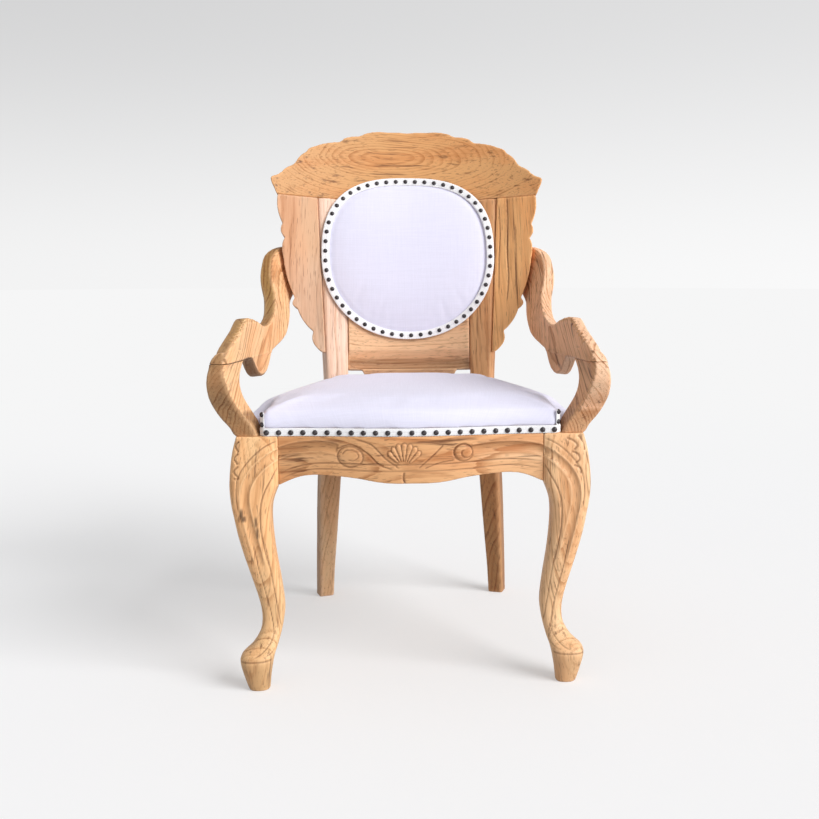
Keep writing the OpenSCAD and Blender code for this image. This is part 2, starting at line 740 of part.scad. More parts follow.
// The front corners are cut at 45 degrees, where the tape climbs beside the arm supports
corner_cut = 7;
corner_y = pad_front(pad_half, 0) + corner_cut;
post_room_x = post_in - 4;
seat_rear = seat_d - 12;
side_room = 3;
function corner_shift(inset) = inset * (sqrt(2) - 1);
function seat_half(inset) = let (last = pad_half - corner_cut - corner_shift(inset)) concat(
    [for (i = [0:10]) let (x = last * i / 10) [x, pad_front(x, inset)]],
    [[pad_half - inset, corner_y + corner_shift(inset)], [pad_half - inset, block_w - 6 + inset],
     [side_x(block_w) - side_room - inset, block_w - 6 + inset]],
    [for (y = [130, 200, 270, 340, 410]) [side_x(y * deep) - side_room - inset, y * deep]],
    [[side_x(seat_rear) - side_room - 2 - inset, seat_rear - inset], [post_room_x - inset, seat_rear - inset],
     [post_room_x - inset, seat_d + 6 - inset]]
);
// The same points on a shape without notches, which the crown of the cushion follows
function crown_half() = let (edge = seat_half(0)) [for (i = [0:len(edge) - 1])
    i == 11 ? [pad_half + 4, corner_y + 6] :
    i == 12 ? [pad_half + 16, block_w - 38] :
    i == 13 ? edge[i] - [2, 0] :
    i == 19 ? edge[i] + [-10, -4] :
    i == 20 ? edge[i] + [22, 6] : edge[i]
];
function seat_outline(inset) = both_halves(seat_half(inset));

module seat_board() {
    color(wood_dark) translate([0, -y_mid, seat_h]) linear_extrude(seat_board_t) polygon(seat_outline(0.4));
}

// Rows of the cushion: [share of the outline, height over the board, share of the way to the crown's shape]
function crown_z(s) = seat_side + (seat_crown - seat_side) * pow(1 - pow(s, 6), 0.8);
seat_cushion_rows = concat(
    [for (s = [0.1, 0.6, 0.99]) [s, fit_gap, 0]],
    [[1, seat_side * 0.45, 0], [0.996, seat_side, 0]],
    [for (s = [0.985, 0.965, 0.94, 0.9, 0.82, 0.7, 0.5, 0.27, 0.1]) [s, crown_z(s), min(1, (0.985 - s) * 12)]]
);
module seat_cushion() {
    centre = [0, seat_d / 2];
    base = seat_outline(0);
    crown = both_halves(crown_half());
    color(cloth) translate([0, -y_mid, seat_top]) loft([for (r = seat_cushion_rows)
        [for (i = [0:len(base) - 1])
            let (q = base[i] + (crown[i] - base[i]) * r[2], p = centre + (q - centre) * r[0]) [p[0], p[1], r[1]]]
    ]);
}

// Tape round the edge of the board, climbing beside the arm supports at the front corners
tape_gap = fit_gap + 0.2;
module at_corner(side) {
    mirror([side < 0 ? 1 : 0, 0, 0]) translate([pad_half - corner_cut / 2, corner_y - corner_cut / 2, 0])
        rotate([0, 0, 45]) children();
}
module seat_trim() {
    climb_w = corner_cut * sqrt(2);
    color(trim_white) translate([0, -y_mid, seat_h + 0.2]) {
        linear_extrude(seat_board_t) difference() {
            polygon(seat_outline(-tape_gap - trim_t));
            polygon(seat_outline(-tape_gap));
        }
        for (side = [-1, 1]) at_corner(side)
            translate([-climb_w / 2, -tape_gap - trim_t, seat_board_t / 2])
                cube([climb_w, trim_t, seat_board_t / 2 + seat_side]);
    }
}

// Nails along the front, and two that climb beside each arm support
module seat_nails() {
    span = pad_half - corner_cut - 2;
    face = tape_gap + trim_t + nail_lift;
    color(nail_metal) translate([0, -y_mid, 0]) {
        for (k = [0:seat_nails_front - 1]) {
            x = -span + 2 * span * k / (seat_nails_front - 1);
            slope = (front_face(x + 1) - front_face(x - 1)) / 2;
            translate([x, pad_front(x, 0) - face, seat_h + seat_board_t / 2])
                rotate([90, 0, atan(slope)]) nail();
        }
        for (side = [-1, 1], share = [0.25, 0.85])
            at_corner(side) translate([0, -face, seat_top + seat_side * share]) rotate([90, 0, 0]) nail();
    }
}

front_leg_left();
front_leg_right();
rear_post_left();
rear_post_right();
front_rail();
side_rail_left();
side_rail_right();
rear_seat_rail();
corner_block_front_left();
corner_block_front_right();
corner_block_rear_left();
corner_block_rear_right();
corner_screws();
seat_frame_dowels();
crest_rail();
side_board_left();
side_board_right();
lower_back_rail();
back_dowels();
arm_left();
arm_right();
arm_support_left();
arm_support_right();
arm_dowels();
back_panel();
back_cushion();
back_trim();
back_nails();
rear_cover();
rear_trim();
seat_board();
seat_cushion();
seat_trim();
seat_nails();
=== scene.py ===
"""Dresses the carved dining armchair: worn wood, carving, stuffed cushions, tape, nails and a studio."""
import json
import math

import bmesh
import bpy
import numpy as np
from bpy.props import FloatProperty, FloatVectorProperty, IntProperty, PointerProperty
from mathutils import Matrix, Vector

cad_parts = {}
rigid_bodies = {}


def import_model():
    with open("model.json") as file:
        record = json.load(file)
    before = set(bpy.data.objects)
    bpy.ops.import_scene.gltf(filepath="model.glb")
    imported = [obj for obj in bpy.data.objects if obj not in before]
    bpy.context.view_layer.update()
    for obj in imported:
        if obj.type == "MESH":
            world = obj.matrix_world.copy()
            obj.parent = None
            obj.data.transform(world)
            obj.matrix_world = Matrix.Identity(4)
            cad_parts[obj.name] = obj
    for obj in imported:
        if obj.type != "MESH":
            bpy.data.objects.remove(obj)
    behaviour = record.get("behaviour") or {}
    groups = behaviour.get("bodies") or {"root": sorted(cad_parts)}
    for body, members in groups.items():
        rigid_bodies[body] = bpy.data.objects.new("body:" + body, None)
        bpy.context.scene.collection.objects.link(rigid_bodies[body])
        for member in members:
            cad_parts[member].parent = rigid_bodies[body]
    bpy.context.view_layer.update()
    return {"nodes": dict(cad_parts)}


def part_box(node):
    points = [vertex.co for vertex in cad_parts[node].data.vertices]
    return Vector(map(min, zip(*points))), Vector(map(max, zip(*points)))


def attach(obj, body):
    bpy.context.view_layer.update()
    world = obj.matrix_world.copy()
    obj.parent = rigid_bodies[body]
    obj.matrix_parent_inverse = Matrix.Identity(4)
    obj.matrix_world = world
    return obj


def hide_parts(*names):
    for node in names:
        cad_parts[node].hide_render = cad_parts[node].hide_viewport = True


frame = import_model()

bl_info = {
    "name": "Carved dining armchair",
    "version": (1, 0, 0),
    "blender": (4, 5, 0),
    "location": "View3D > Sidebar > Armchair",
    "description": "Builds the visible skin of a carved armchair round its joinery",
    "category": "Object",
}

NODES = frame["nodes"]

# The joiner's drawing measures depth from the front of the leg blocks, in metres
DEPTH_MIDDLE = 0.29953
SEAT_RAIL_TOP = 0.425
BACK_LEAN = math.radians(9.8)
BACK_RADIUS = 0.600
BACK_FOOT = Vector((0, 0.5067 - DEPTH_MIDDLE, 0.480))
BACK_THICK = 0.044
BLOCK_INNER = 0.221
OVAL_HALF_W, OVAL_HALF_H, OVAL_MIDDLE = 0.180, 0.171, 0.240
SEAT_HALF, SEAT_CORNER = 0.248, 0.007
SIDE_X, SIDE_DEPTH, SIDE_TAPER = 0.287, 0.068, 0.25714
BOARD_THICK, PAD_SIDE = 0.012, 0.028
RAIL_FACE, RAIL_BOW = 0.002, 0.020
PAD_SETBACK = 0.002
PAD_FRONT = RAIL_FACE + PAD_SETBACK
NAIL_PROUD = 0.0025
WELD = 0.00002

# Pitches of the cloth's threads, of the tape's ribs and of the chips on the arms
THREAD_PITCH = 0.0011
TAPE_RIB, TAPE_THREAD, TAPE_STEP = 0.0048, 0.0026, 0.0014
CHIP_PITCH, CHIP_DEPTH, CHIP_REACH = 0.0125, 0.0048, 0.0065

# The photograph's camera, and the way towards its main light
CAMERA_PLACE = (-0.01379, -2.1030, 0.70795)
CAMERA_YAW, CAMERA_PITCH = math.radians(4.46), math.radians(7.67)
CAMERA_SHIFT = (-0.0959, 0.0015)
FOCAL_PIXELS, PICTURE_PIXELS = 1096.05, 819
KEY_FROM = (0.71, -0.53, 0.50)


class ArmchairSizes(bpy.types.PropertyGroup):
    """Sizes of the upholstery and the carving"""
    carve_depth: FloatProperty(
        name="Carving depth", description="Depth of the channels on the rail and knees",
        default=0.0024, min=0, max=0.005, unit="LENGTH")
    tape_width: FloatProperty(
        name="Tape width", description="Width of the woven tape",
        default=0.016, min=0.01, max=0.02, unit="LENGTH")
    nail_width: FloatProperty(
        name="Nail width", description="Diameter of a domed nail",
        default=0.0088, min=0.006, max=0.014, unit="LENGTH")
    oval_nails: IntProperty(
        name="Oval nails", description="Nails round the oval", default=54, min=20, max=90)
    seat_nails: IntProperty(
        name="Seat nails", description="Nails along the front of the seat", default=25, min=9, max=40)
    seat_swell: FloatProperty(
        name="Seat swell", description="Farthest that a point of the seat may swell",
        default=0.0035, min=0, max=0.03, unit="LENGTH")
    back_swell: FloatProperty(
        name="Back swell", description="Farthest that a point of the back pad may swell",
        default=0.008, min=0, max=0.03, unit="LENGTH")


class ArmchairFinish(bpy.types.PropertyGroup):
    """Colours of the wood, cloth and metal"""
    wood_light: FloatVectorProperty(
        name="Light wood", description="Early wood", subtype="COLOR",
        default=(0.80, 0.47, 0.225), min=0, max=1)
    wood_dark: FloatVectorProperty(
        name="Dark wood", description="Late wood", subtype="COLOR",
        default=(0.40, 0.165, 0.055), min=0, max=1)
    # Also the colour of the painted shade in cuts and hollows
    wood_deep: FloatVectorProperty(
        name="Deep wood", description="Colour in the carved lines", subtype="COLOR",
        default=(0.13, 0.048, 0.018), min=0, max=1)
    cloth: FloatVectorProperty(
        name="Cloth", description="Cover cloth", subtype="COLOR", default=(0.80, 0.79, 0.94), min=0, max=1)
    tape: FloatVectorProperty(
        name="Tape", description="Woven tape", subtype="COLOR", default=(0.95, 0.945, 0.96), min=0, max=1)
    nail: FloatVectorProperty(
        name="Nail", description="Antique nail metal", subtype="COLOR",
        default=(0.040, 0.036, 0.038), min=0, max=1)


class ArmchairStage(bpy.types.PropertyGroup):
    """Floor, backdrop and light"""
    floor: FloatVectorProperty(
        name="Floor", description="Colour of the floor and backdrop", subtype="COLOR",
        default=(0.95, 0.952, 0.965), min=0, max=1)
    key: FloatProperty(
        name="Key strength", description="Strength of the wide soft light at the right",
        default=3.2, min=0, max=10)
    key_spread: FloatProperty(
        name="Key spread", description="How wide the light at the right is, as seen from the chair",
        default=math.radians(38), min=0, max=3, subtype="ANGLE")
    sky: FloatProperty(
        name="Sky strength", description="Strength of the even light from all round",
        default=0.46, min=0, max=3)
    backdrop: FloatVectorProperty(
        name="Backdrop", description="Colour of the backdrop at the height of the eye",
        subtype="COLOR", default=(0.92, 0.92, 0.922), min=0, max=1)
    backdrop_top: FloatVectorProperty(
        name="Backdrop top", description="Colour of the backdrop higher up",
        subtype="COLOR", default=(0.70, 0.70, 0.705), min=0, max=1)


# ---- hand tools

def at(x, depth, z):
    """Point of the joiner's drawing, given in millimetres, in the row frame."""
    return Vector((x / 1000, depth / 1000 - DEPTH_MIDDLE, z / 1000))


def choose(*objects):
    """Selects only these objects and makes the first one active."""
    bpy.ops.object.select_all(action="DESELECT")
    for o in objects:
        o.select_set(True)
    bpy.context.view_layer.objects.active = objects[0]


def values_of(collection, key, width, kind=np.float32):
    """One row of numbers for each member of a mesh's collection."""
    values = np.empty(len(collection) * width, kind)
    collection.foreach_get(key, values)
    return values.reshape(-1, width)


def points_of(obj):
    return values_of(obj.data.vertices, "co", 3).astype(float)


def normals_of(obj):
    return values_of(obj.data.vertex_normals, "vector", 3).astype(float)


def move_points(obj, co):
    obj.data.vertices.foreach_set("co", np.asarray(co, np.float32).ravel())
    obj.data.update()


def spread(obj, values):
    """Mean of each vertex's neighbours."""
    e = values_of(obj.data.edges, "vertices", 2, np.int32)
    total = np.zeros_like(values)
    count = np.zeros(len(values))
    for a, b in ((0, 1), (1, 0)):
        np.add.at(total, e[:, a], values[e[:, b]])
        np.add.at(count, e[:, a], 1)
    count = np.maximum(count, 1)
    return total / (count[:, None] if values.ndim > 1 else count)


def paint(obj, name, values):
    """Stores a value for each vertex, which the finishes read."""
    layer = obj.data.attributes.get(name) or obj.data.attributes.new(name, "FLOAT", "POINT")
    layer.data.foreach_set("value", np.asarray(values, np.float32))


def open_mesh(obj):
    """Edit mode with the whole mesh selected."""
    choose(obj)
    bpy.ops.object.mode_set(mode="EDIT")
    bpy.ops.mesh.select_all(action="SELECT")


def apply_modifier(obj, kind, **settings):
    """Adds a modifier and makes its result the mesh."""
    choose(obj)
    mod = obj.modifiers.new(kind.lower(), kind)
    for key, value in settings.items():
        setattr(mod, key, value)
    bpy.ops.object.modifier_apply(modifier=mod.name)


def node_copy(node, name):
    """Own copy of a node's mesh, with its loose triangles merged."""
    choose(NODES[node])
    bpy.ops.object.duplicate()
    obj = bpy.context.object
    bpy.ops.object.parent_clear(type="CLEAR_KEEP_TRANSFORM")
    for key in [k for k in obj.keys() if k.startswith("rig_")]:
        del obj[key]
    obj.name = obj.data.name = name
    open_mesh(obj)
    bpy.ops.mesh.remove_doubles(threshold=WELD)
    bpy.ops.object.mode_set(mode="OBJECT")
    return obj


def worn_copy(node, name, grain, rounds):
    """Copy of a node with its edges worn round and its surface fine enough to carve."""
    obj = node_copy(node, name)
    apply_modifier(obj, "REMESH", mode="VOXEL", voxel_size=grain, adaptivity=0)
    bpy.ops.mesh.separate(type="LOOSE")
    *crumbs, obj = sorted(bpy.context.selected_objects, key=lambda o: len(o.data.vertices))
    for crumb in crumbs:
        bpy.data.objects.remove(crumb)
    obj.name = obj.data.name = name
    apply_modifier(obj, "SMOOTH", factor=0.5, iterations=rounds)
    return obj


def mark_edges(obj, share=1.0):
    """Paints how much each vertex stands out at an edge, paler for wear and as painted highlight, and how
    much it lies in a hollow, as painted shade.
    """
    co, no = points_of(obj), normals_of(obj)
    bend = -np.einsum("ij,ij->i", spread(obj, co) - co, no)
    bend /= max(np.percentile(np.abs(bend), 99.5), 1e-9)
    for _ in range(2):
        bend = (bend + spread(obj, bend)) / 2
    paint(obj, "edge", np.clip(bend * 1.6, 0, 1) * share)
    paint(obj, "hollow", np.clip(-bend * 1.8, 0, 1) * share)


def hand_in(obj, material, slot, *nodes):
    """Gives a finished piece its finish and its place on the chair."""
    obj.data.materials.clear()
    obj.data.materials.append(bpy.data.materials[material])
    choose(obj)
    bpy.ops.object.shade_smooth()
    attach(obj, "root")
    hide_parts(*nodes)


def on_back(depth, across, up):
    """Point of the leaning hollow back: depth behind its face, across and up along the lean."""
    r = BACK_RADIUS + depth
    w = math.sqrt(max(r * r - across * across, 0)) - BACK_RADIUS
    return BACK_FOOT + Vector((across, up * math.sin(BACK_LEAN) + w * math.cos(BACK_LEAN),
                               up * math.cos(BACK_LEAN) - w * math.sin(BACK_LEAN)))


def oval_point(inset, turn):
    """Point of the oval at a share of a full turn, as across and up."""
    a = turn * math.tau
    e = 2.65 if math.sin(a) > 0 else 2.1

    def power(v):
        return math.copysign(abs(v) ** (2 / e), v)
    across = (OVAL_HALF_W - inset) * power(math.cos(a))
    return across, OVAL_MIDDLE + (OVAL_HALF_H - inset) * power(math.sin(a))


def even_steps(path, count):
    """Points at equal steps round a closed path."""
    p = [*path, path[0]]
    run = [0.0]
    for a, b in zip(p, p[1:]):
        run.append(run[-1] + (b - a).length)
    out, i = [], 0
    for k in range(count):
        s = run[-1] * k / count
        while i < len(run) - 2 and run[i + 1] < s:
            i += 1
        out.append(p[i].lerp(p[i + 1], (s - run[i]) / max(run[i + 1] - run[i], 1e-12)))
    return out


def front_face(x):
    """Depth of the bowed front rail's face at x, in the row frame."""
    if abs(x) >= BLOCK_INNER:
        return RAIL_FACE - DEPTH_MIDDLE
    return RAIL_FACE - RAIL_BOW * math.cos(math.pi / 2 * x / BLOCK_INNER) ** 2 - DEPTH_MIDDLE


def climb_foot(side, proud):
    """Foot of the tape that climbs on the seat's cut corner, proud of the pad, and the way it faces."""
    out = Vector((side, -1, 0)).normalized()
    foot = Vector((side * (SEAT_HALF - SEAT_CORNER / 2), PAD_FRONT + SEAT_CORNER / 2 - DEPTH_MIDDLE, 0))
    return foot + out * proud, out


def seat_edge(out):
    """Closed outline of the seat pad, moved outwards, with notches for the arms and the posts."""
    shift = out * (math.sqrt(2) - 1)
    last = SEAT_HALF - SEAT_CORNER + shift
    half = [(last * i / 40, front_face(last * i / 40) + PAD_SETBACK - out) for i in range(41)]

    def side_x(depth):
        return SIDE_X - (depth - SIDE_DEPTH) * SIDE_TAPER
    y = -DEPTH_MIDDLE
    half += [(SEAT_HALF + out, y + PAD_FRONT + SEAT_CORNER - shift), (SEAT_HALF + out, y + 0.062 - out),
             (side_x(SIDE_DEPTH) - 0.003 + out, y + 0.062 - out)]
    half += [(side_x(d) - 0.003 + out, y + d) for d in (0.13, 0.20, 0.27, 0.34, 0.41)]
    half += [(side_x(0.468) - 0.005 + out, y + 0.468 + out), (0.122 + out, y + 0.468 + out),
             (0.122 + out, y + 0.486 + out)]
    return half + [(-a, b) for a, b in reversed(half[1:])]


# ---- finishes

class Graph:
    """Shorthand for building a node tree. A value is a number, a colour or another node's socket."""

    def __init__(self, tree):
        self.tree = tree

    def join(self, value, socket):
        if isinstance(value, bpy.types.NodeSocket):
            self.tree.links.new(value, socket)
        else:
            socket.default_value = value

    def fill(self, node, values):
        for key, value in values.items():
            self.join(value, node.inputs[key])
        return node

    def put(self, kind, values=None, **settings):
        """Adds a node, sets its properties, and fills or links its inputs."""
        node = self.tree.nodes.new("ShaderNode" + kind)
        for key, value in settings.items():
            setattr(node, key, value)
        return self.fill(node, values or {})

    def calc(self, operation, a, b=0.0, clamp=False):
        return self.put("Math", {0: a, 1: b}, operation=operation, use_clamp=clamp).outputs[0]

    def plus(self, a, b, clamp=False):
        return self.calc("ADD", a, b, clamp)

    def minus(self, a, b):
        return self.calc("SUBTRACT", a, b)

    def times(self, a, b):
        return self.calc("MULTIPLY", a, b)

    def ease(self, value, low, high, to_low=0.0, to_high=1.0):
        """Smooth step of a value between two limits."""
        return self.put("MapRange", {"Value": value, "From Min": low, "From Max": high, "To Min": to_low,
                                     "To Max": to_high}, interpolation_type="SMOOTHSTEP").outputs[0]

    def vector(self, operation, a, b):
        return self.put("VectorMath", {0: a, 1: b}, operation=operation).outputs[0]

    def stretch(self, vector, scale):
        return self.vector("MULTIPLY", vector, scale)

    def length(self, vector):
        return self.put("VectorMath", {0: vector}, operation="LENGTH").outputs["Value"]

    def axes(self, vector):
        return self.put("SeparateXYZ", {0: vector}).outputs

    def cloud(self, vector, scale, detail=2.0, rough=0.5):
        return self.put("TexNoise", {"Vector": vector, "Scale": scale, "Detail": detail,
                                     "Roughness": rough}).outputs["Fac"]

    def blend(self, share, a, b, mode="MIX"):
        a, b = (c if isinstance(c, bpy.types.NodeSocket) else (*c, 1) for c in (a, b))
        return self.put("Mix", {0: share, 6: a, 7: b}, data_type="RGBA", blend_type=mode).outputs[2]

    def painted(self, name):
        """Value that paint() stored on the mesh."""
        return self.put("Attribute", attribute_name=name).outputs["Fac"]

    def object_place(self):
        return self.put("TexCoord").outputs["Object"]

    def group(self, name, values):
        return self.put("Group", values, node_tree=bpy.data.node_groups[name]).outputs

    def bump(self, strength, distance, height):
        return self.put("Bump", {"Strength": strength, "Distance": distance, "Height": height}).outputs[0]

    def first(self, kind):
        """First node of a kind, by the start of its type."""
        return next(n for n in self.tree.nodes if n.type.startswith(kind))

    def show(self, shader):
        """Makes a shader what the material or the world shows."""
        self.join(shader.outputs[0], self.first("OUTPUT").inputs[0])

    def direct_look(self):
        """1 for what the camera sees itself or in a gloss, 0 for light that bounces."""
        rays = self.put("LightPath").outputs
        return self.calc("MAXIMUM", rays["Is Camera Ray"], rays["Is Glossy Ray"])


def new_group(name, inputs, outputs):
    """Empty shader group with its named sockets."""
    tree = bpy.data.node_groups.new(name, "ShaderNodeTree")
    for label, kind, value in inputs:
        socket = tree.interface.new_socket(label, in_out="INPUT", socket_type="NodeSocket" + kind)
        if value is not None:
            socket.default_value = value
    for label, kind in outputs:
        tree.interface.new_socket(label, in_out="OUTPUT", socket_type="NodeSocket" + kind)
    return Graph(tree), tree.nodes.new("NodeGroupInput").outputs, tree.nodes.new("NodeGroupOutput").inputs


def figure_group():
    """Growth rings, fibres, pores and dark streaks of sawn wood. The grain runs along the vector's X."""
    g, gin, gout = new_group(
        "wood figure",
        [("Vector", "Vector", None), ("Ring step", "Float", 0.008), ("Warp", "Float", 0.02),
         ("Taper", "Float", 0.0)],
        [("Rings", "Float"), ("Fibre", "Float"), ("Pores", "Float"), ("Tone", "Float"), ("Streaks", "Float")])
    v = gin["Vector"]
    wander = g.stretch(v, (2.6, 8, 8))
    drift = g.put("TexNoise", {"Vector": wander, "Scale": 1.0, "Detail": 3.0}).outputs["Color"]
    drift = g.vector("SUBTRACT", drift, (0.5, 0.5, 0.5))
    drift = g.put("VectorMath", {0: drift, "Scale": gin["Warp"]}, operation="SCALE").outputs[0]
    bent = g.vector("ADD", v, drift)
    x, y, z = g.axes(bent)
    radius = g.length(g.put("CombineXYZ", {0: g.times(x, gin["Taper"]), 1: y, 2: z}).outputs[0])
    phase = g.calc("DIVIDE", radius, gin["Ring step"])
    phase = g.plus(phase, g.times(g.cloud(g.stretch(v, (4, 34, 34)), 1.0, 4), 1.5))
    part = g.calc("FRACT", phase)
    late = g.times(g.ease(part, 0.35, 0.93), g.ease(part, 0.93, 1.0, 1.0, 0.0))
    each = g.put("TexWhiteNoise", {"W": g.calc("FLOOR", phase)}, noise_dimensions="1D").outputs["Value"]
    g.join(g.times(late, g.ease(each, 0.0, 1.0, 0.25, 1.0)), gout["Rings"])
    g.join(g.cloud(g.stretch(bent, (10, 300, 300)), 1.0, 5, 0.65), gout["Fibre"])
    g.join(g.ease(g.cloud(g.stretch(bent, (36, 560, 560)), 1.0, 1, 0.4), 0.62, 0.72), gout["Pores"])
    g.join(g.cloud(g.stretch(bent, (3.0, 20, 20)), 1.0, 4, 0.6), gout["Tone"])
    g.join(g.ease(g.cloud(g.stretch(bent, (5, 120, 120)), 1.0, 3, 0.6), 0.56, 0.74), gout["Streaks"])


def weave_group():
    """Plain weave of two thread sets along a vector's X and Y."""
    g, gin, gout = new_group(
        "plain weave", [("Vector", "Vector", None), ("Pitch", "Float", THREAD_PITCH)],
        [("Height", "Float"), ("Thread", "Float")])
    cell = g.vector("DIVIDE", gin["Vector"], gin["Pitch"])
    wobble = g.put("TexNoise", {"Vector": cell, "Scale": 0.09, "Detail": 2.0}).outputs["Color"]
    cell = g.vector("ADD", cell, wobble)
    u, w = (g.calc("SINE", g.times(a, math.pi)) for a in g.axes(cell)[:2])
    height = g.plus(g.times(g.calc("ABSOLUTE", u), 0.5), g.times(g.calc("ABSOLUTE", w), 0.5))
    g.join(g.plus(height, g.times(g.times(u, w), 0.35)), gout["Height"])
    slubs = (g.cloud(g.stretch(cell, scale), 1.0) for scale in ((0.02, 0.9, 0.9), (0.9, 0.02, 0.9)))
    g.join(g.times(g.plus(*slubs), 0.5), gout["Thread"])


def blank_finish(name):
    """Material with nothing but its surface, as its graph and the surface node."""
    mat = bpy.data.materials.new(name)
    mat.use_nodes = True
    tree = mat.node_tree
    tree.nodes.clear()
    out = tree.nodes.new("ShaderNodeOutputMaterial")
    skin = tree.nodes.new("ShaderNodeBsdfPrincipled")
    tree.links.new(skin.outputs[0], out.inputs[0])
    return Graph(tree), skin


def lay_grain(grain, pith):
    """Turn and shift that bring the pith line, in the row frame, onto the X axis."""
    turn = Vector(grain).rotation_difference(Vector((1, 0, 0)))
    return tuple(turn.to_euler()), tuple(-(turn @ Vector(pith)))


def wood_finish(name, grain, pith, step, warp, tint=(1, 1, 1), light=None, dark=None, rings=1.0, tone=1.0,
                streaks=0.6, taper=0.0):
    """Bare sanded wood, sawn from a log whose pith passes through a point along the grain."""
    finish = bpy.context.scene.armchair_finish
    light, dark = (tuple(min(1, c * t) for c, t in zip(colour, tint))
                   for colour in (light or finish.wood_light, dark or finish.wood_dark))
    deep = tuple(finish.wood_deep)
    g, skin = blank_finish(name)
    turn, shift = lay_grain(grain, pith)
    place = g.put("Mapping", {"Vector": g.object_place(), "Location": shift, "Rotation": turn}).outputs[0]
    fig = g.group("wood figure", {"Vector": place, "Ring step": step, "Warp": warp, "Taper": taper})
    dusk = g.times(fig["Rings"], rings)
    dusk = g.plus(dusk, g.times(g.minus(fig["Tone"], 0.5), 1.5 * tone))
    dusk = g.plus(dusk, g.times(g.minus(fig["Fibre"], 0.5), 1.5), clamp=True)
    colour = g.blend(dusk, light, dark)
    warm = tuple(min(1, c * t) for c, t in zip(light, (1.08, 0.82, 0.66)))
    patch = g.ease(g.cloud(g.stretch(place, (4, 22, 22)), 1.0), 0.40, 0.66)
    colour = g.blend(g.times(patch, 0.4), colour, warm)
    colour = g.blend(g.times(fig["Streaks"], streaks), colour, deep)
    colour = g.blend(g.times(fig["Pores"], 0.45), colour, deep)
    # Painted shade and painted light, mixed with the wood's own tone: darker, paler and olive multiplies that
    # the pieces paint on their faces
    for colour_mask, shade in (("dark_tone_and_painted_shade", (0.50, 0.46, 0.40)), ("pale_tone_and_painted_light", (1.22, 1.42, 1.75)),
                         ("olive_painted_shade", (0.90, 0.88, 0.62))):
        colour = g.blend(g.painted(colour_mask), colour, shade, "MULTIPLY")
    pale = tuple(min(1, c * 1.12 + 0.04) for c in light)
    # Edges paler for wear and as painted highlight; painted shade in hollows and at the bottom of cuts
    for mark, share, shade in (("edge", 0.55, pale), ("hollow", 0.5, deep), ("groove_shade", 0.5, deep)):
        colour = g.blend(g.times(g.painted(mark), share), colour, shade)
    # Dark knots, and painted shade under the arms
    colour = g.blend(g.painted("knot_and_shade"), colour, (0.045, 0.022, 0.012))
    height = g.minus(g.times(fig["Fibre"], 0.6), g.times(fig["Pores"], 0.8))
    height = g.minus(height, g.times(fig["Rings"], 0.25))
    g.fill(skin, {"Base Color": colour, "Roughness": g.plus(0.5, g.times(dusk, 0.16)),
                  "Specular IOR Level": 0.35, "Normal": g.bump(0.55, 0.0006, height)})
    return g, skin


def cloth_finish(name):
    """Fine plain-woven cloth over the piece's own UV map, in metres."""
    cloth = tuple(bpy.context.scene.armchair_finish.cloth)
    g, skin = blank_finish(name)
    place = g.put("UVMap", uv_map="cut").outputs[0]
    weave = g.group("plain weave", {"Vector": place, "Pitch": THREAD_PITCH})
    colour = g.blend(g.ease(weave["Thread"], 0.42, 0.6), tuple(c * 0.955 for c in cloth), cloth)
    # Painted shade in the gaps between the threads
    gaps = g.times(g.ease(weave["Height"], 0.55, 0.0), 0.2)
    colour = g.blend(gaps, colour, tuple(c * 0.7 for c in cloth))
    soil = g.times(g.ease(g.cloud(place, 9.0, 3), 0.45, 0.75), 0.06)
    colour = g.blend(soil, colour, tuple(c * t for c, t in zip(cloth, (0.86, 0.84, 0.9))))
    g.fill(skin, {"Base Color": colour, "Roughness": 0.85, "Specular IOR Level": 0.2, "Sheen Weight": 0.15,
                  "Normal": g.bump(0.5, 0.00025, weave["Height"])})


def tape_finish(name):
    """Woven tape with slanting ribs, over the piece's own UV map, in metres."""
    white = tuple(bpy.context.scene.armchair_finish.tape)
    g, skin = blank_finish(name)
    along, across, _ = g.axes(g.put("UVMap", uv_map="cut").outputs[0])
    side = g.calc("ABSOLUTE", across)
    slant = g.plus(along, g.times(side, 0.9))
    rib = g.calc("ABSOLUTE", g.calc("SINE", g.times(slant, math.pi / TAPE_THREAD)))
    height = g.times(rib, g.ease(side, 0.0, 0.0012))
    # Painted shade between the ribs
    colour = g.blend(g.times(g.ease(height, 0.5, 0.0), 0.3), white, tuple(c * 0.62 for c in white))
    g.fill(skin, {"Base Color": colour, "Roughness": 0.8, "Sheen Weight": 0.1,
                  "Normal": g.bump(0.7, 0.0005, height)})


def nail_finish(name):
    """Dark antique metal with brighter, duller stains."""
    metal = tuple(bpy.context.scene.armchair_finish.nail)
    g, skin = blank_finish(name)
    colour_mask = g.cloud(g.object_place(), 420.0, 3)
    colour = g.blend(g.ease(colour_mask, 0.35, 0.7), metal, tuple(min(1, c * 2.4) for c in metal))
    g.fill(skin, {"Base Color": colour, "Metallic": 0.9, "Roughness": g.ease(colour_mask, 0.3, 0.7, 0.28, 0.5)})


def steel_finish(name):
    """Soiled steel of the hidden screws."""
    g, skin = blank_finish(name)
    dirt = g.cloud(g.object_place(), 260.0, 4)
    colour = g.blend(dirt, (0.45, 0.45, 0.46), (0.62, 0.62, 0.63))
    g.fill(skin, {"Base Color": colour, "Metallic": 1.0, "Roughness": g.ease(dirt, 0.3, 0.7, 0.25, 0.45)})


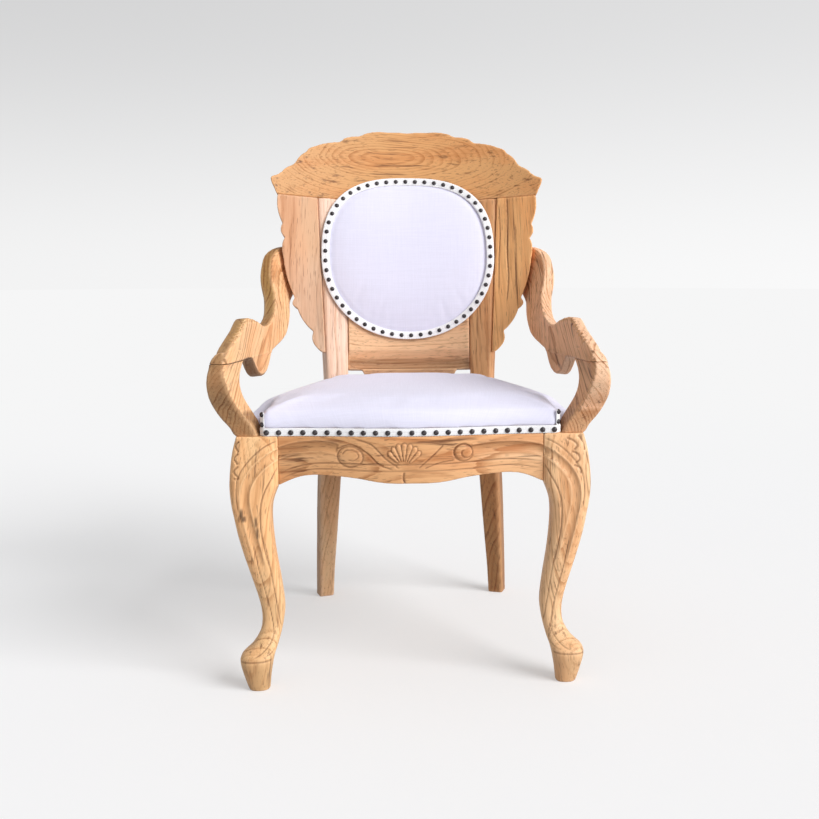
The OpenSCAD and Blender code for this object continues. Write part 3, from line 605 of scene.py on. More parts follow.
def ply_finish(name):
    """Plywood: pale faces with layered edges."""
    g, skin = wood_finish(name, (0, 1, 0), (0.2, 0, -0.3), 0.02, 0.05, light=(0.70, 0.50, 0.30),
                          dark=(0.50, 0.32, 0.17), rings=0.5, streaks=0.2)
    layer = g.calc("FRACT", g.times(g.axes(g.object_place())[2], 420.0))
    up = g.axes(g.put("NewGeometry").outputs["Normal"])[2]
    rim = g.ease(g.calc("ABSOLUTE", up), 0.8, 0.3)
    share = g.times(g.times(g.ease(layer, 0.45, 0.55), rim), 0.5)
    old = skin.inputs["Base Color"].links[0].from_socket
    g.join(g.blend(share, old, (0.30, 0.17, 0.08)), skin.inputs["Base Color"])


# ---- carving

def line_distance(p, path):
    """Distance of each point from a path, and the share of the path run at the nearest place."""
    best = np.full(len(p), 1e9)
    along = np.zeros(len(p))
    run = 0.0
    total = sum(math.dist(a, b) for a, b in zip(path, path[1:]))
    for a, b in zip(path, path[1:]):
        a, b = np.array(a, float), np.array(b, float)
        d = b - a
        length = np.linalg.norm(d)
        t = np.clip(((p - a) @ d) / (length * length), 0, 1)
        dist = np.linalg.norm(p - (a + t[:, None] * d), axis=1)
        nearer = dist < best
        best = np.where(nearer, dist, best)
        along = np.where(nearer, (run + t * length) / total, along)
        run += length
    return best, along


def path_length(path):
    return sum((b - a).length for a, b in zip(path, path[1:]))


def smooth_path(points, steps=6):
    """Rounded path through a few given points."""
    p = [np.array(q, float) for q in points]
    out = []
    for i in range(len(p) - 1):
        a, b, c, d = p[max(i - 1, 0)], p[i], p[i + 1], p[min(i + 2, len(p) - 1)]
        for k in range(steps):
            t = k / steps
            out.append(0.5 * (2 * b + (c - a) * t + (2 * a - 5 * b + 4 * c - d) * t * t
                              + (3 * b - a - 3 * c + d) * t ** 3))
    return out + [p[-1]]


class Chisel:
    """Carves lines, channels, domes and a shell on the side of a piece that faces one way, in millimetres,
    and paints shade into the cuts.
    """

    def __init__(self, obj, plane, facing):
        self.obj = obj
        self.co = points_of(obj)
        self.p = self.co[:, plane] * 1000
        way = normals_of(obj) @ np.array(facing, float)
        self.face = np.clip((way - 0.25) / 0.35, 0, 1)
        self.lift = np.zeros(len(self.p))
        self.groove_shade = np.zeros(len(self.p))

    def line(self, points, depth, half, dark=1.0, fade=0.06):
        """Narrow cut with painted shade at its bottom. Without a fade it keeps its depth up to its ends."""
        dist, along = line_distance(self.p, smooth_path(points))
        end = np.clip(np.minimum(along, 1 - along) / fade, 0, 1) if fade else 1
        cut = np.exp(-(dist / half) ** 2) * end
        self.lift -= depth * cut
        self.groove_shade = np.maximum(self.groove_shade, dark * cut)

    def flute(self, points, half, depth, bead=0.8, fade=0.08):
        """Wide hollow channel with a rounded bead along both sides."""
        dist, along = line_distance(self.p, smooth_path(points))
        end = np.clip(np.minimum(along, 1 - along) / fade, 0, 1) ** 0.7
        self.lift -= depth * np.clip(1 - (dist / half) ** 2, 0, 1) ** 0.8 * end
        self.lift += bead * np.exp(-((dist - half - 1.6) / 1.5) ** 2) * end
        # Painted shade along the channel's edges
        self.groove_shade = np.maximum(self.groove_shade, 0.55 * np.exp(-((dist - half) / 0.9) ** 2) * end)

    def dome(self, x, z, half_w, half_h, height, tilt=0.0):
        """Raised oval boss with a cut ring round it."""
        c, s = math.cos(math.radians(tilt)), math.sin(math.radians(tilt))
        dx, dz = self.p[:, 0] - x, self.p[:, 1] - z
        r = np.hypot((dx * c + dz * s) / half_w, (dz * c - dx * s) / half_h)
        self.lift += height * np.clip(1 - r * r, 0, 1) ** 0.6
        ring = np.exp(-((r - 1.06) * min(half_w, half_h) / 1.2) ** 2)
        self.lift -= 1.1 * ring
        # Painted shade in the cut ring
        self.groove_shade = np.maximum(self.groove_shade, 0.9 * ring)

    def fan(self, x, z, reach, lobes, half_angle, height=2.6):
        """Shell of raised lobes that spread from one point."""
        dx, dz = self.p[:, 0] - x, self.p[:, 1] - z
        r = np.hypot(dx, dz)
        turn = np.degrees(np.arctan2(dx, dz))
        share = (turn / half_angle + 1) / 2 * lobes
        inside = (np.abs(turn) < half_angle) & (r < reach * 1.1)
        local = share - np.floor(share) - 0.5
        edge = reach * (1 - 0.10 * (2 * local) ** 2 - 0.12 * (turn / half_angle) ** 2)
        body = np.clip((r - 7) / 10, 0, 1) * np.clip((edge - r) / 3, 0, 1) * inside
        self.lift += body * height * (0.25 + 0.75 * np.sqrt(np.clip(1 - (2 * local) ** 2, 0, 1)))
        width = np.maximum(r * math.radians(2 * half_angle / lobes), 1)
        between = np.exp(-(((0.5 - np.abs(local)) * width) / 0.9) ** 2) * (r > 12) * (r < edge) * inside
        rim = np.exp(-((r - edge - 0.8) / 1.0) ** 2) * (np.abs(turn) < half_angle + 2)
        self.lift -= 0.9 * between + 0.8 * rim
        # Painted shade between the lobes and along the rim
        self.groove_shade = np.maximum(self.groove_shade, np.maximum(0.85 * between, 0.8 * rim))

    def finish(self):
        """Moves the points by what was carved, and paints shade into the grooves."""
        amount = (self.lift * self.face / 1000)[:, None]
        move_points(self.obj, self.co + amount * normals_of(self.obj))
        paint(self.obj, "groove_shade", self.groove_shade * self.face)


def chip_edge(obj, path):
    """Row of small chips cut along an edge."""
    co = points_of(obj)
    dist, along = line_distance(co, [tuple(p) for p in path])
    saw = 1 - np.abs((along * path_length(path) / CHIP_PITCH) % 1 - 0.35) / 0.65
    end = np.clip(np.minimum(along, 1 - along) / 0.04, 0, 1)
    cut = CHIP_DEPTH * np.clip(saw, 0, 1) * np.exp(-(dist / CHIP_REACH) ** 2) * end
    move_points(obj, co - normals_of(obj) * cut[:, None])


def edge_saw(obj, path):
    """Saw-tooth wave near an edge, with the same pitch as its chips."""
    dist, along = line_distance(points_of(obj), [tuple(p) for p in path])
    return (((along * path_length(path) / CHIP_PITCH) % 1) * 2 - 1) * np.exp(-(dist / 0.012) ** 2)


# ---- soft goods

def swell(obj, held, cap, pressure=4.0, frames=20):
    """Blows a stuffed piece up as cloth. held is 1 where it is nailed down, and cap the farthest move."""
    start = points_of(obj)
    group = obj.vertex_groups.new(name="held")
    for i, w in enumerate(held):
        if w > 0:
            group.add([i], float(w), "REPLACE")
    mod = obj.modifiers.new("cloth", "CLOTH")
    s = mod.settings
    s.quality = 6
    s.mass = 0.3
    s.tension_stiffness = s.compression_stiffness = 18
    s.shear_stiffness = 8
    s.bending_stiffness = 1.2
    s.use_pressure = True
    s.uniform_pressure_force = pressure
    s.vertex_group_mass = "held"
    s.effector_weights.gravity = 0
    mod.collision_settings.use_collision = False
    mod.collision_settings.use_self_collision = False
    scene = bpy.context.scene
    for f in range(1, frames + 1):
        scene.frame_set(f)
    moved = obj.evaluated_get(bpy.context.evaluated_depsgraph_get())
    step = points_of(moved) - start
    obj.modifiers.remove(mod)
    obj.vertex_groups.clear()
    scene.frame_set(1)
    size = np.linalg.norm(step, axis=1)
    step *= (np.tanh(size / cap) * cap / np.maximum(size, 1e-9))[:, None]
    for _ in range(3):
        step = (step + spread(obj, step)) / 2
    move_points(obj, start + step)


def give_uv(obj, uv):
    """Lays the cloth's cut over the mesh: one pair in metres for each vertex."""
    while obj.data.uv_layers:
        obj.data.uv_layers.remove(obj.data.uv_layers[0])
    layer = obj.data.uv_layers.new(name="cut")
    loops = values_of(obj.data.loops, "vertex_index", 1, np.int32)[:, 0]
    layer.data.foreach_set("uv", np.asarray(uv, np.float32)[loops].ravel())


def even_run(path, step):
    """Points round a closed path at about equal steps, keeping its corners, with the length run so far."""
    p = [*path, path[0]]
    out, run = [(p[0], 0.0)], 0.0
    for a, b in zip(p, p[1:]):
        n = max(1, round((b - a).length / step))
        for k in range(1, n + 1):
            out.append((a.lerp(b, k / n), run + (b - a).length * k / n))
        run += (b - a).length
    return out


def tape(name, spine, width, thick):
    """Woven tape bent from a flat grid. The spine gives for each station its middle, the way across,
    the way out, the length run so far and the share of full size."""
    ring = 14
    bpy.ops.object.select_all(action="DESELECT")
    bpy.ops.mesh.primitive_grid_add(x_subdivisions=len(spine) - 1, y_subdivisions=ring, size=2,
                                    location=(0, 0, 0))
    obj = bpy.context.object
    obj.name = obj.data.name = name
    flat = points_of(obj)
    column = np.rint((flat[:, 0] + 1) / 2 * (len(spine) - 1)).astype(int)
    row = np.rint((flat[:, 1] + 1) / 2 * ring).astype(int)
    co, uv = np.zeros_like(flat), np.zeros((len(flat), 2))
    rib = spine[-1][3] / round(spine[-1][3] / TAPE_RIB)
    for i, (c, r) in enumerate(zip(column, row)):
        mid, across, out, run, size = spine[c]
        a = math.tau * (r + 0.5) / ring
        u = math.copysign(abs(math.cos(a)) ** 0.4, math.cos(a))
        w = math.copysign(abs(math.sin(a)) ** 0.7, math.sin(a))
        wave = math.cos(run * math.tau / rib + abs(u) * 2.2)
        w *= 1 + 0.16 * wave if w > 0 else 1
        u *= 1 + 0.03 * math.cos(run * math.tau / rib)
        co[i] = mid + across * (u * width / 2 * size) + out * (w * thick / 2 * size)
        uv[i] = run, u * width / 2
    move_points(obj, co)
    give_uv(obj, uv)
    open_mesh(obj)
    bpy.ops.mesh.remove_doubles(threshold=WELD)
    bpy.ops.mesh.normals_make_consistent(inside=False)
    bpy.ops.object.mode_set(mode="OBJECT")
    return obj


def one_nail(width):
    """Domed nail head with a thin rim, standing along +Z on the origin."""
    bpy.ops.object.select_all(action="DESELECT")
    bpy.ops.mesh.primitive_uv_sphere_add(segments=14, ring_count=10, radius=width / 2, location=(0, 0, 0))
    obj = bpy.context.object
    open_mesh(obj)
    bpy.ops.mesh.bisect(plane_co=(0, 0, 0.0001), plane_no=(0, 0, 1), threshold=0.00001, clear_inner=True,
                        use_fill=True)
    bpy.ops.mesh.select_all(action="SELECT")
    bpy.ops.transform.resize(value=(1, 1, 0.66), center_override=(0, 0, 0))
    bpy.ops.mesh.select_all(action="DESELECT")
    mesh = bmesh.from_edit_mesh(obj.data)
    for f in mesh.faces:
        if f.normal.z < -0.9:
            f.select = True
    bmesh.update_edit_mesh(obj.data)
    bpy.ops.mesh.extrude_region_move(TRANSFORM_OT_translate={"value": (0, 0, -0.0006)})
    bpy.ops.transform.resize(value=(1.06, 1.06, 1), center_override=(0, 0, 0))
    bpy.ops.object.mode_set(mode="OBJECT")
    return obj


def nail_row(name, places):
    """Copies of one nail, as one piece. Each place is a spot and the way out of it."""
    first = one_nail(bpy.context.scene.armchair_sizes.nail_width)
    copies = []
    for spot, out in places:
        copy = bpy.data.objects.new(name, first.data.copy())
        bpy.context.scene.collection.objects.link(copy)
        side = Vector((0, 0, 1)).rotation_difference(out).to_matrix().to_4x4()
        copy.data.transform(Matrix.Translation(spot) @ side)
        copies.append(copy)
    bpy.data.objects.remove(first)
    choose(*copies)
    bpy.ops.object.join()
    copies[0].name = copies[0].data.name = name
    return copies[0]


# ---- operators

class ARMCHAIR_OT_finishes(bpy.types.Operator):
    """Mix the wood, cloth, tape and metal finishes, and finish the joinery that stays as it is"""
    bl_idname = "armchair.finishes"
    bl_label = "Finishes and joinery"

    def execute(self, context):
        figure_group()
        weave_group()
        for name, grain, pith, step, warp, tint, more in (
            ("crest", (1, 0.02, 0.0), (-0.078, 0.298, 0.925), 0.0042, 0.026, (0.92, 0.82, 0.70),
             {"rings": 0.65, "tone": 1.6, "streaks": 0.8, "taper": 0.16}),
            ("front_rail", (1, 0.03, 0.02), (0.0, -0.22, 0.375), 0.007, 0.03, (0.97, 0.88, 0.84),
             {"tone": 1.6, "streaks": 0.9}),
            ("lower_rail", (1, -0.02, 0.02), (0.0, 0.30, 0.66), 0.006, 0.02, (1.0, 1.05, 1.26),
             {"rings": 0.7}),
            ("board_left", (0.03, 0.17, 1), (-0.25, 0.36, 0.7), 0.010, 0.03, (0.80, 0.80, 0.95),
             {"rings": 0.6, "streaks": 0.45}),
            ("board_right", (-0.03, 0.17, 1), (0.30, 0.34, 0.7), 0.006, 0.02, (1.10, 1.0, 0.86),
             {"streaks": 0.9}),
            ("post_left", (0.02, 0.14, 1), (-0.10, 0.30, 0.5), 0.007, 0.02, (0.88, 0.98, 1.35),
             {"rings": 0.7, "streaks": 0.4}),
            ("post_right", (-0.02, 0.14, 1), (0.24, 0.30, 0.5), 0.006, 0.02, (0.82, 0.74, 0.70),
             {"streaks": 0.7}),
            ("leg_left", (0.10, 0.02, 1), (-0.22, -0.20, 0.2), 0.006, 0.03, (1.10, 1.16, 1.22),
             {"rings": 0.8, "streaks": 0.8}),
            ("leg_right", (-0.10, 0.02, 1), (0.20, -0.21, 0.2), 0.006, 0.03, (1.08, 1.16, 1.32),
             {"rings": 0.8, "tone": 1.5, "streaks": 0.8}),
            # The left arm's wood is tinted paler and the right arm's darker: partly their own tone, partly
            # painted light and shade, as the light falls from the right
            ("arm_left", (0.05, 0.80, 0.6), (-0.19, -0.05, 0.60), 0.007, 0.03, (1.04, 1.08, 1.18),
             {"streaks": 0.4}),
            ("arm_right", (-0.05, 0.80, 0.6), (0.20, -0.06, 0.60), 0.006, 0.03, (0.98, 0.94, 1.05),
             {"tone": 1.4, "streaks": 0.9}),
            ("plain", (1, 0.05, 0), (0.0, 0.05, 0.30), 0.006, 0.02, (1, 1, 1),
             {"light": (0.62, 0.40, 0.22), "dark": (0.38, 0.21, 0.10)}),
            ("side_rail", (0, 1, 0.02), (-0.18, 0.0, 0.44), 0.008, 0.02, (0.95, 0.93, 0.9), {}),
        ):
            wood_finish(name + "_wood", grain, pith, step, warp, tint, **more)
        ply_finish("ply")
        steel_finish("screw_steel")
        cloth_finish("cover_cloth")
        tape_finish("white_tape")
        nail_finish("antique_nail")
        kept = {
            "side_rail_left": "side_rail_wood", "side_rail_right": "side_rail_wood",
            "rear_seat_rail": "front_rail_wood", "seat_board": "ply", "back_panel": "ply",
            "corner_screws": "screw_steel",
        }
        for name, obj in NODES.items():
            if name.startswith("corner_block") or name.endswith("dowels"):
                kept[name] = "plain_wood"
            if name in kept:
                obj.data.materials.clear()
                obj.data.materials.append(bpy.data.materials[kept[name]])
        return {"FINISHED"}


class ARMCHAIR_OT_back_frame(bpy.types.Operator):
    """Crest rail, side boards, posts and lower back rail"""
    bl_idname = "armchair.back_frame"
    bl_label = "Back frame"

    def execute(self, context):
        for node, finish, grain in (
            ("crest_rail", "crest_wood", 0.0021), ("lower_back_rail", "lower_rail_wood", 0.0019),
            ("side_board_left", "board_left_wood", 0.0018), ("side_board_right", "board_right_wood", 0.0018),
            ("rear_post_left", "post_left_wood", 0.0024), ("rear_post_right", "post_right_wood", 0.0024),
        ):
            obj = worn_copy(node, node + "_worn", grain, 3)
            x, _, z = points_of(obj).T
            if node == "side_board_right":
                c = Chisel(obj, (0, 2), (0, -1, 0))
                c.line([(208, 850), (209, 790), (207, 733), (209, 680), (205, 625)], 1.8, 1.3)
                c.line([(191, 832), (193, 770), (190, 710), (189, 650)], 1.2, 1.1)
                c.line([(224, 790), (225, 720), (222, 655)], 0.9, 1.0)
                c.finish()
            if node == "side_board_left":
                low = np.clip((0.74 - z) / 0.1, 0, 1)
                paint(obj, "pale_tone_and_painted_light", low * 0.9)
                paint(obj, "dark_tone_and_painted_shade", low * 0.5)
            if node == "lower_back_rail":
                # Painted shade on the lower face of the rail, in its cove
                paint(obj, "dark_tone_and_painted_shade", np.clip((0.5085 - z) / 0.003, 0, 1) * 0.75)
            if node == "crest_rail":
                paint(obj, "dark_tone_and_painted_shade", np.clip(-x / 0.25, 0, 1) * 0.3)
            if node == "rear_post_right":
                # Painted shade on the leg below the seat
                paint(obj, "dark_tone_and_painted_shade", np.clip((0.47 - z) / 0.05, 0, 1))
            if node == "rear_post_left":
                # Painted light on the post above the seat; below the seat, painted shade on the leg's left
                # edge, away from the light, and olive painted shade over the leg
                paint(obj, "pale_tone_and_painted_light", np.clip((z - 0.44) / 0.03, 0, 1))
                leg = np.clip((0.47 - z) / 0.05, 0, 1)
                slices = np.linspace(0, 0.47, 20)
                rims = [x[np.abs(z - h) < 0.02].min() for h in slices]
                rim = np.clip((np.interp(z, slices, rims) + 0.011 - x) / 0.004, 0, 1)
                paint(obj, "dark_tone_and_painted_shade", leg * rim * 0.7)
                paint(obj, "olive_painted_shade", leg * 0.5)
            mark_edges(obj)
            hand_in(obj, finish, "carved_wood", node)
        return {"FINISHED"}


class ARMCHAIR_OT_front_rail(bpy.types.Operator):
    """Bowed front rail with its carved shell, boss, scroll and channels"""
    bl_idname = "armchair.front_rail"
    bl_label = "Front rail"

    def execute(self, context):
        obj = worn_copy("front_rail", "front_rail_carved", 0.0014, 3)
        c = Chisel(obj, (0, 2), (0, -1, 0))
        depth = context.scene.armchair_sizes.carve_depth * 1000
        c.flute([(-122, 404), (-150, 409), (-185, 407), (-214, 400), (-238, 388)], 8, depth, 1.1, fade=0.02)
        c.flute([(100, 400), (135, 404), (178, 404), (212, 399), (238, 388)], 8, depth, 1.3, fade=0.02)
        c.line([(-221, 361), (-200, 371), (-165, 379), (-120, 380), (-60, 378), (-14, 378), (50, 378),
                (110, 381), (165, 383), (221, 378)], 1.4, 1.1)
        c.line([(-221, 351), (-195, 363), (-160, 370), (-110, 369), (-60, 367), (-14, 367), (50, 367),
                (110, 370), (165, 373), (221, 366)], 1.0, 0.9)
        c.fan(-13, 372, 42, 7, 52)
        for path in (((-126, 403), (-101, 411), (-74, 397), (-54, 378), (-31, 369)),
                     ((-94, 420), (-67, 411), (-44, 388), (-21, 371)),
                     ((52, 410), (34, 392), (10, 371)), ((70, 384), (46, 380), (20, 371))):
            c.line(path, 1.5, 1.1)
        c.dome(-102, 391, 20, 16, 2.6, -8)
        c.dome(85, 396, 15, 13, 2.2)
        c.line([(74, 388), (69, 397), (74, 407), (86, 411), (98, 405), (100, 395), (93, 388), (84, 390),
                (82, 398), (88, 401)], 1.5, 1.1)
        c.line([(-116, 394), (-108, 402), (-94, 401), (-88, 392), (-96, 385), (-107, 387)], 1.1, 0.9)
        c.line([(-14, 363), (-15, 356), (-13, 347)], 2.0, 1.6, fade=0)
        c.finish()
        # Painted shade and painted highlight: the rail darker towards the left and paler towards the right,
        # as the light falls from the right, with shade in the channels and highlights on the beads below them
        x = points_of(obj)[:, 0]
        shade, shine = np.clip(-x / 0.2, 0, 1) * 0.4, np.clip(x / 0.2, 0, 1) * 0.4
        for s, dark, light in ((-1, 0.35, 0.25), (1, 0.55, 0.6)):
            for z, half, share, values in ((408, 8, dark, shade), (389, 5.5, light, shine)):
                channel = [(s * 98, z - 2), (s * 135, z), (s * 178, z), (s * 221, z - 8)]
                dist, along = line_distance(c.p, smooth_path(channel))
                values += share * np.exp(-(dist / half) ** 2) * np.clip(along / 0.15, 0, 1)
        paint(obj, "dark_tone_and_painted_shade", np.clip(shade, 0, 1))
        paint(obj, "pale_tone_and_painted_light", np.clip(shine, 0, 1))
        mark_edges(obj)
        hand_in(obj, "front_rail_wood", "carved_wood", "front_rail")
        return {"FINISHED"}


class ARMCHAIR_OT_front_legs(bpy.types.Operator):
    """Cabriole front legs with carved knees"""
    bl_idname = "armchair.front_legs"
    bl_label = "Front legs"

    def execute(self, context):
        depth = context.scene.armchair_sizes.carve_depth * 1000
        for side, s in (("left", -1), ("right", 1)):
            obj = worn_copy("front_leg_" + side, "front_leg_" + side + "_carved", 0.0016, 8)
            c = Chisel(obj, (0, 2), (0, -1, 0))

            def leg(points):
                return [(s * x, z) for x, z in points]
            c.flute(leg([(205, 399), (221, 396), (240, 385), (259, 367), (272, 344), (275, 318), (270, 285),
                         (261, 245), (253, 205)]), 7.0, depth)
            for cut, half, points in (
                (1.3, 1.1, ((221, 376), (229, 360), (243, 334), (250, 306), (250, 270), (245, 235),
                            (238, 200))),
                (1.0, 1.0, ((221, 418), (243, 408), (266, 388), (284, 362), (289, 330), (286, 300))),
                (1.0, 0.8, ((265, 250), (256, 200), (245, 150), (236, 103), (237, 82), (250, 66), (268, 57))),
                (0.9, 0.8, ((245, 250), (238, 205), (232, 160), (226, 117), (222, 86), (234, 66), (250, 58))),
            ):
                c.line(leg(points), cut, half)
            if s < 0:
                leaves = (((283, 418), (290, 411), (284, 400)), ((284, 399), (292, 390), (285, 380)),
                          ((284, 378), (293, 369), (285, 358), (294, 357)))
            else:
                leaves = (((258, 418), (270, 413), (277, 405), (270, 397)),
                          ((266, 396), (278, 390), (280, 381), (272, 375)),
                          ((270, 373), (281, 367), (283, 357)), ((278, 422), (288, 410), (290, 396)))
            for path in leaves:
                c.line(leg(path), 1.9, 1.7, 0.55)
            c.line(leg([(236, 53), (250, 52.5), (268, 52), (288, 51)]), 0.9, 1.3, fade=0)
            c.finish()
            co = points_of(obj) * 1000
            if s < 0:
                knot_and_shade = np.zeros(len(co))
                for x, z, w, h in ((-281, 298, 3.0, 9), (-278, 290, 4.0, 5), (-258, 284, 2.4, 9),
                                   (-256, 266, 2.2, 10)):
                    knot_and_shade = np.maximum(knot_and_shade, np.exp(-((co[:, 0] - x) / w) ** 4 - ((co[:, 2] - z) / h) ** 4))
                paint(obj, "knot_and_shade", knot_and_shade * 0.8)
            foot, shank = np.clip((66 - co[:, 2]) / 30, 0, 1), np.clip((200 - co[:, 2]) / 90, 0, 1)
            paint(obj, "dark_tone_and_painted_shade", foot * 0.45 + shank * 0.22 if s < 0 else foot * 0.35 + shank * 0.08)
            mark_edges(obj)
            hand_in(obj, "leg_%s_wood" % side, "carved_wood", "front_leg_" + side)
        return {"FINISHED"}


class ARMCHAIR_OT_arms(bpy.types.Operator):
    """S-shaped arms with chipped edges over the knuckle, and their supports"""
    bl_idname = "armchair.arms"
    bl_label = "Arms"

    def execute(self, context):
        for side, s in (("left", -1), ("right", 1)):
            edge = [at(s * x, y, z) for x, y, z in (
                (269, 180, 607), (271, 166, 610), (275, 138, 614), (279, 112, 615), (281, 88, 608),
                (283, 64, 599), (286, 40, 590), (290, 14, 579))]
            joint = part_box("arm_support_" + side)[1].z
            for part in ("arm_", "arm_support_"):
                obj = worn_copy(part + side, part + side + "_worn", 0.0016, 2)
                if part == "arm_":
                    chip_edge(obj, edge)
                co, way = points_of(obj), normals_of(obj)
                near = np.exp(-((co[:, 2] - joint) / 0.0017) ** 2)
                move_points(obj, co + way * (1, 1, 0) * (0.0011 * near)[:, None])
                # Painted light and shade by which way the faces turn, as the light falls from the right: the
                # left arm's outer faces darker and olive, the right arm's outer faces paler
                turned = (0.80 if s < 0 else 0.66) + normals_of(obj)[:, 0] * s
                z = points_of(obj)[:, 2]
                saw = edge_saw(obj, edge) + 0.7 * (z / 0.0105 % 1 * 2 - 1)
                turned = (turned - 0.18 + 0.22 * saw) / 0.12
                outer = np.clip(turned, 0, 1)
                # Painted shade at the foot of the supports and on the faces turned down
                foot = np.clip((0.468 - z) / 0.006, 0, 1)
                under = np.clip((-way[:, 2] - 0.25) / 0.3, 0, 1) * np.clip((z - 0.47) / 0.01, 0, 1)
                dark = np.maximum(outer * (1.0 if s < 0 else 0.0), foot * (1.0 if s < 0 else 0.4))
                dark = np.maximum(dark, under * (0.9 if s < 0 else 0.6))
                # Darker band across the right arm's inner faces
                if s > 0:
                    dark = np.maximum(dark, 0.45 * (1 - outer) * np.exp(-((z - 0.535) / 0.022) ** 2))
                paint(obj, "dark_tone_and_painted_shade", dark)
                paint(obj, "pale_tone_and_painted_light", outer * (0.0 if s < 0 else 0.85) * (1 - foot))
                paint(obj, "olive_painted_shade", outer * np.clip((z - 0.56) / 0.03, 0, 1) if s < 0 else 0 * z)
                # Painted shade along the serrated line where the inner and outer faces meet, and under the
                # faces turned down
                paint(obj, "groove_shade", 0.8 * np.exp(-((turned - 0.2) / 1.1) ** 2) * (1 - foot))
                paint(obj, "knot_and_shade", under * (0.35 if s < 0 else 0.12))
                mark_edges(obj, 1 - np.exp(-((z - joint) / 0.006) ** 2))
                hand_in(obj, "arm_%s_wood" % side, "carved_wood", part + side)
        return {"FINISHED"}


class ARMCHAIR_OT_seat_cushion(bpy.types.Operator):
    """Stuffed seat"""
    bl_idname = "armchair.seat_cushion"
    bl_label = "Seat cushion"

    def execute(self, context):
        obj = node_copy("seat_cushion", "seat_cushion_cloth")
        apply_modifier(obj, "REMESH", mode="VOXEL", voxel_size=0.0055, adaptivity=0)
        apply_modifier(obj, "SMOOTH", factor=0.5, iterations=2)
        co = points_of(obj)
        low = co[:, 2].min()
        out = normals_of(obj) * (1, 1, 0)
        out /= np.maximum(np.linalg.norm(out, axis=1), 0.2)[:, None]
        wall = np.linalg.norm(out, axis=1)
        co += out * (0.0030 * np.clip(1 - (co[:, 2] - low) / 0.016, 0, 1))[:, None]
        co[:, 2] -= (co[:, 2] - low) * np.clip(1 - (co[:, 2] - low) / 0.009, 0, 1) * np.clip(wall, 0, 1)
        beside = np.clip((np.abs(co[:, 0]) - SEAT_HALF + 0.010) / 0.012, 0, 1)
        beside *= np.clip((0.145 - DEPTH_MIDDLE - co[:, 1]) / 0.06, 0, 1)
        beside *= np.clip((co[:, 1] - 0.040 + DEPTH_MIDDLE) / 0.015, 0, 1)
        sink = (co[:, 2] - low) * 0.62 * beside
        for _ in range(7):
            sink = (sink + spread(obj, sink)) / 2
        co[:, 2] -= sink
        move_points(obj, co)
        held = np.clip(1 - (co[:, 2] - low - 0.012) / 0.010, 0, 1)
        swell(obj, held, context.scene.armchair_sizes.seat_swell)
        apply_modifier(obj, "SUBSURF", levels=1, render_levels=1)
        co = points_of(obj)
        drop = co[:, 2].max() - co[:, 2]
        mid = co[:, 1].mean()
        uv = np.stack([co[:, 0] * (1 + drop / 0.25), co[:, 1] + (co[:, 1] - mid) / 0.25 * drop], 1)
        give_uv(obj, uv)
        hand_in(obj, "cover_cloth", "cover_fabric", "seat_cushion")
        return {"FINISHED"}


class ARMCHAIR_OT_back_cushion(bpy.types.Operator):
    """Stuffed oval of the back, and the flat cover behind it"""
    bl_idname = "armchair.back_cushion"
    bl_label = "Back cushion"

    def execute(self, context):
        swell_cap = context.scene.armchair_sizes.back_swell
        for node, cap, grain in (("back_cushion", swell_cap, 0.004), ("rear_cover", 0.0025, 0.003)):
            obj = node_copy(node, node + "_cloth")
            apply_modifier(obj, "REMESH", mode="VOXEL", voxel_size=grain, adaptivity=0)
            apply_modifier(obj, "SMOOTH", factor=0.5, iterations=1)
            co = points_of(obj)
            across = co[:, 0] / OVAL_HALF_W
            up = ((co[:, 2] - BACK_FOOT.z) / math.cos(BACK_LEAN) - OVAL_MIDDLE) / OVAL_HALF_H
            out = (np.abs(across) ** 2.3 + np.abs(up) ** 2.3) ** (1 / 2.3)
            held = np.clip((out - 0.86) / 0.06, 0, 1)
            swell(obj, held, cap)
            apply_modifier(obj, "SUBSURF", levels=1, render_levels=1)
            co = points_of(obj)
            give_uv(obj, np.stack([co[:, 0], (co[:, 2] - BACK_FOOT.z) / math.cos(BACK_LEAN)], 1))
            hand_in(obj, "cover_cloth", "cover_fabric", node)
        return {"FINISHED"}


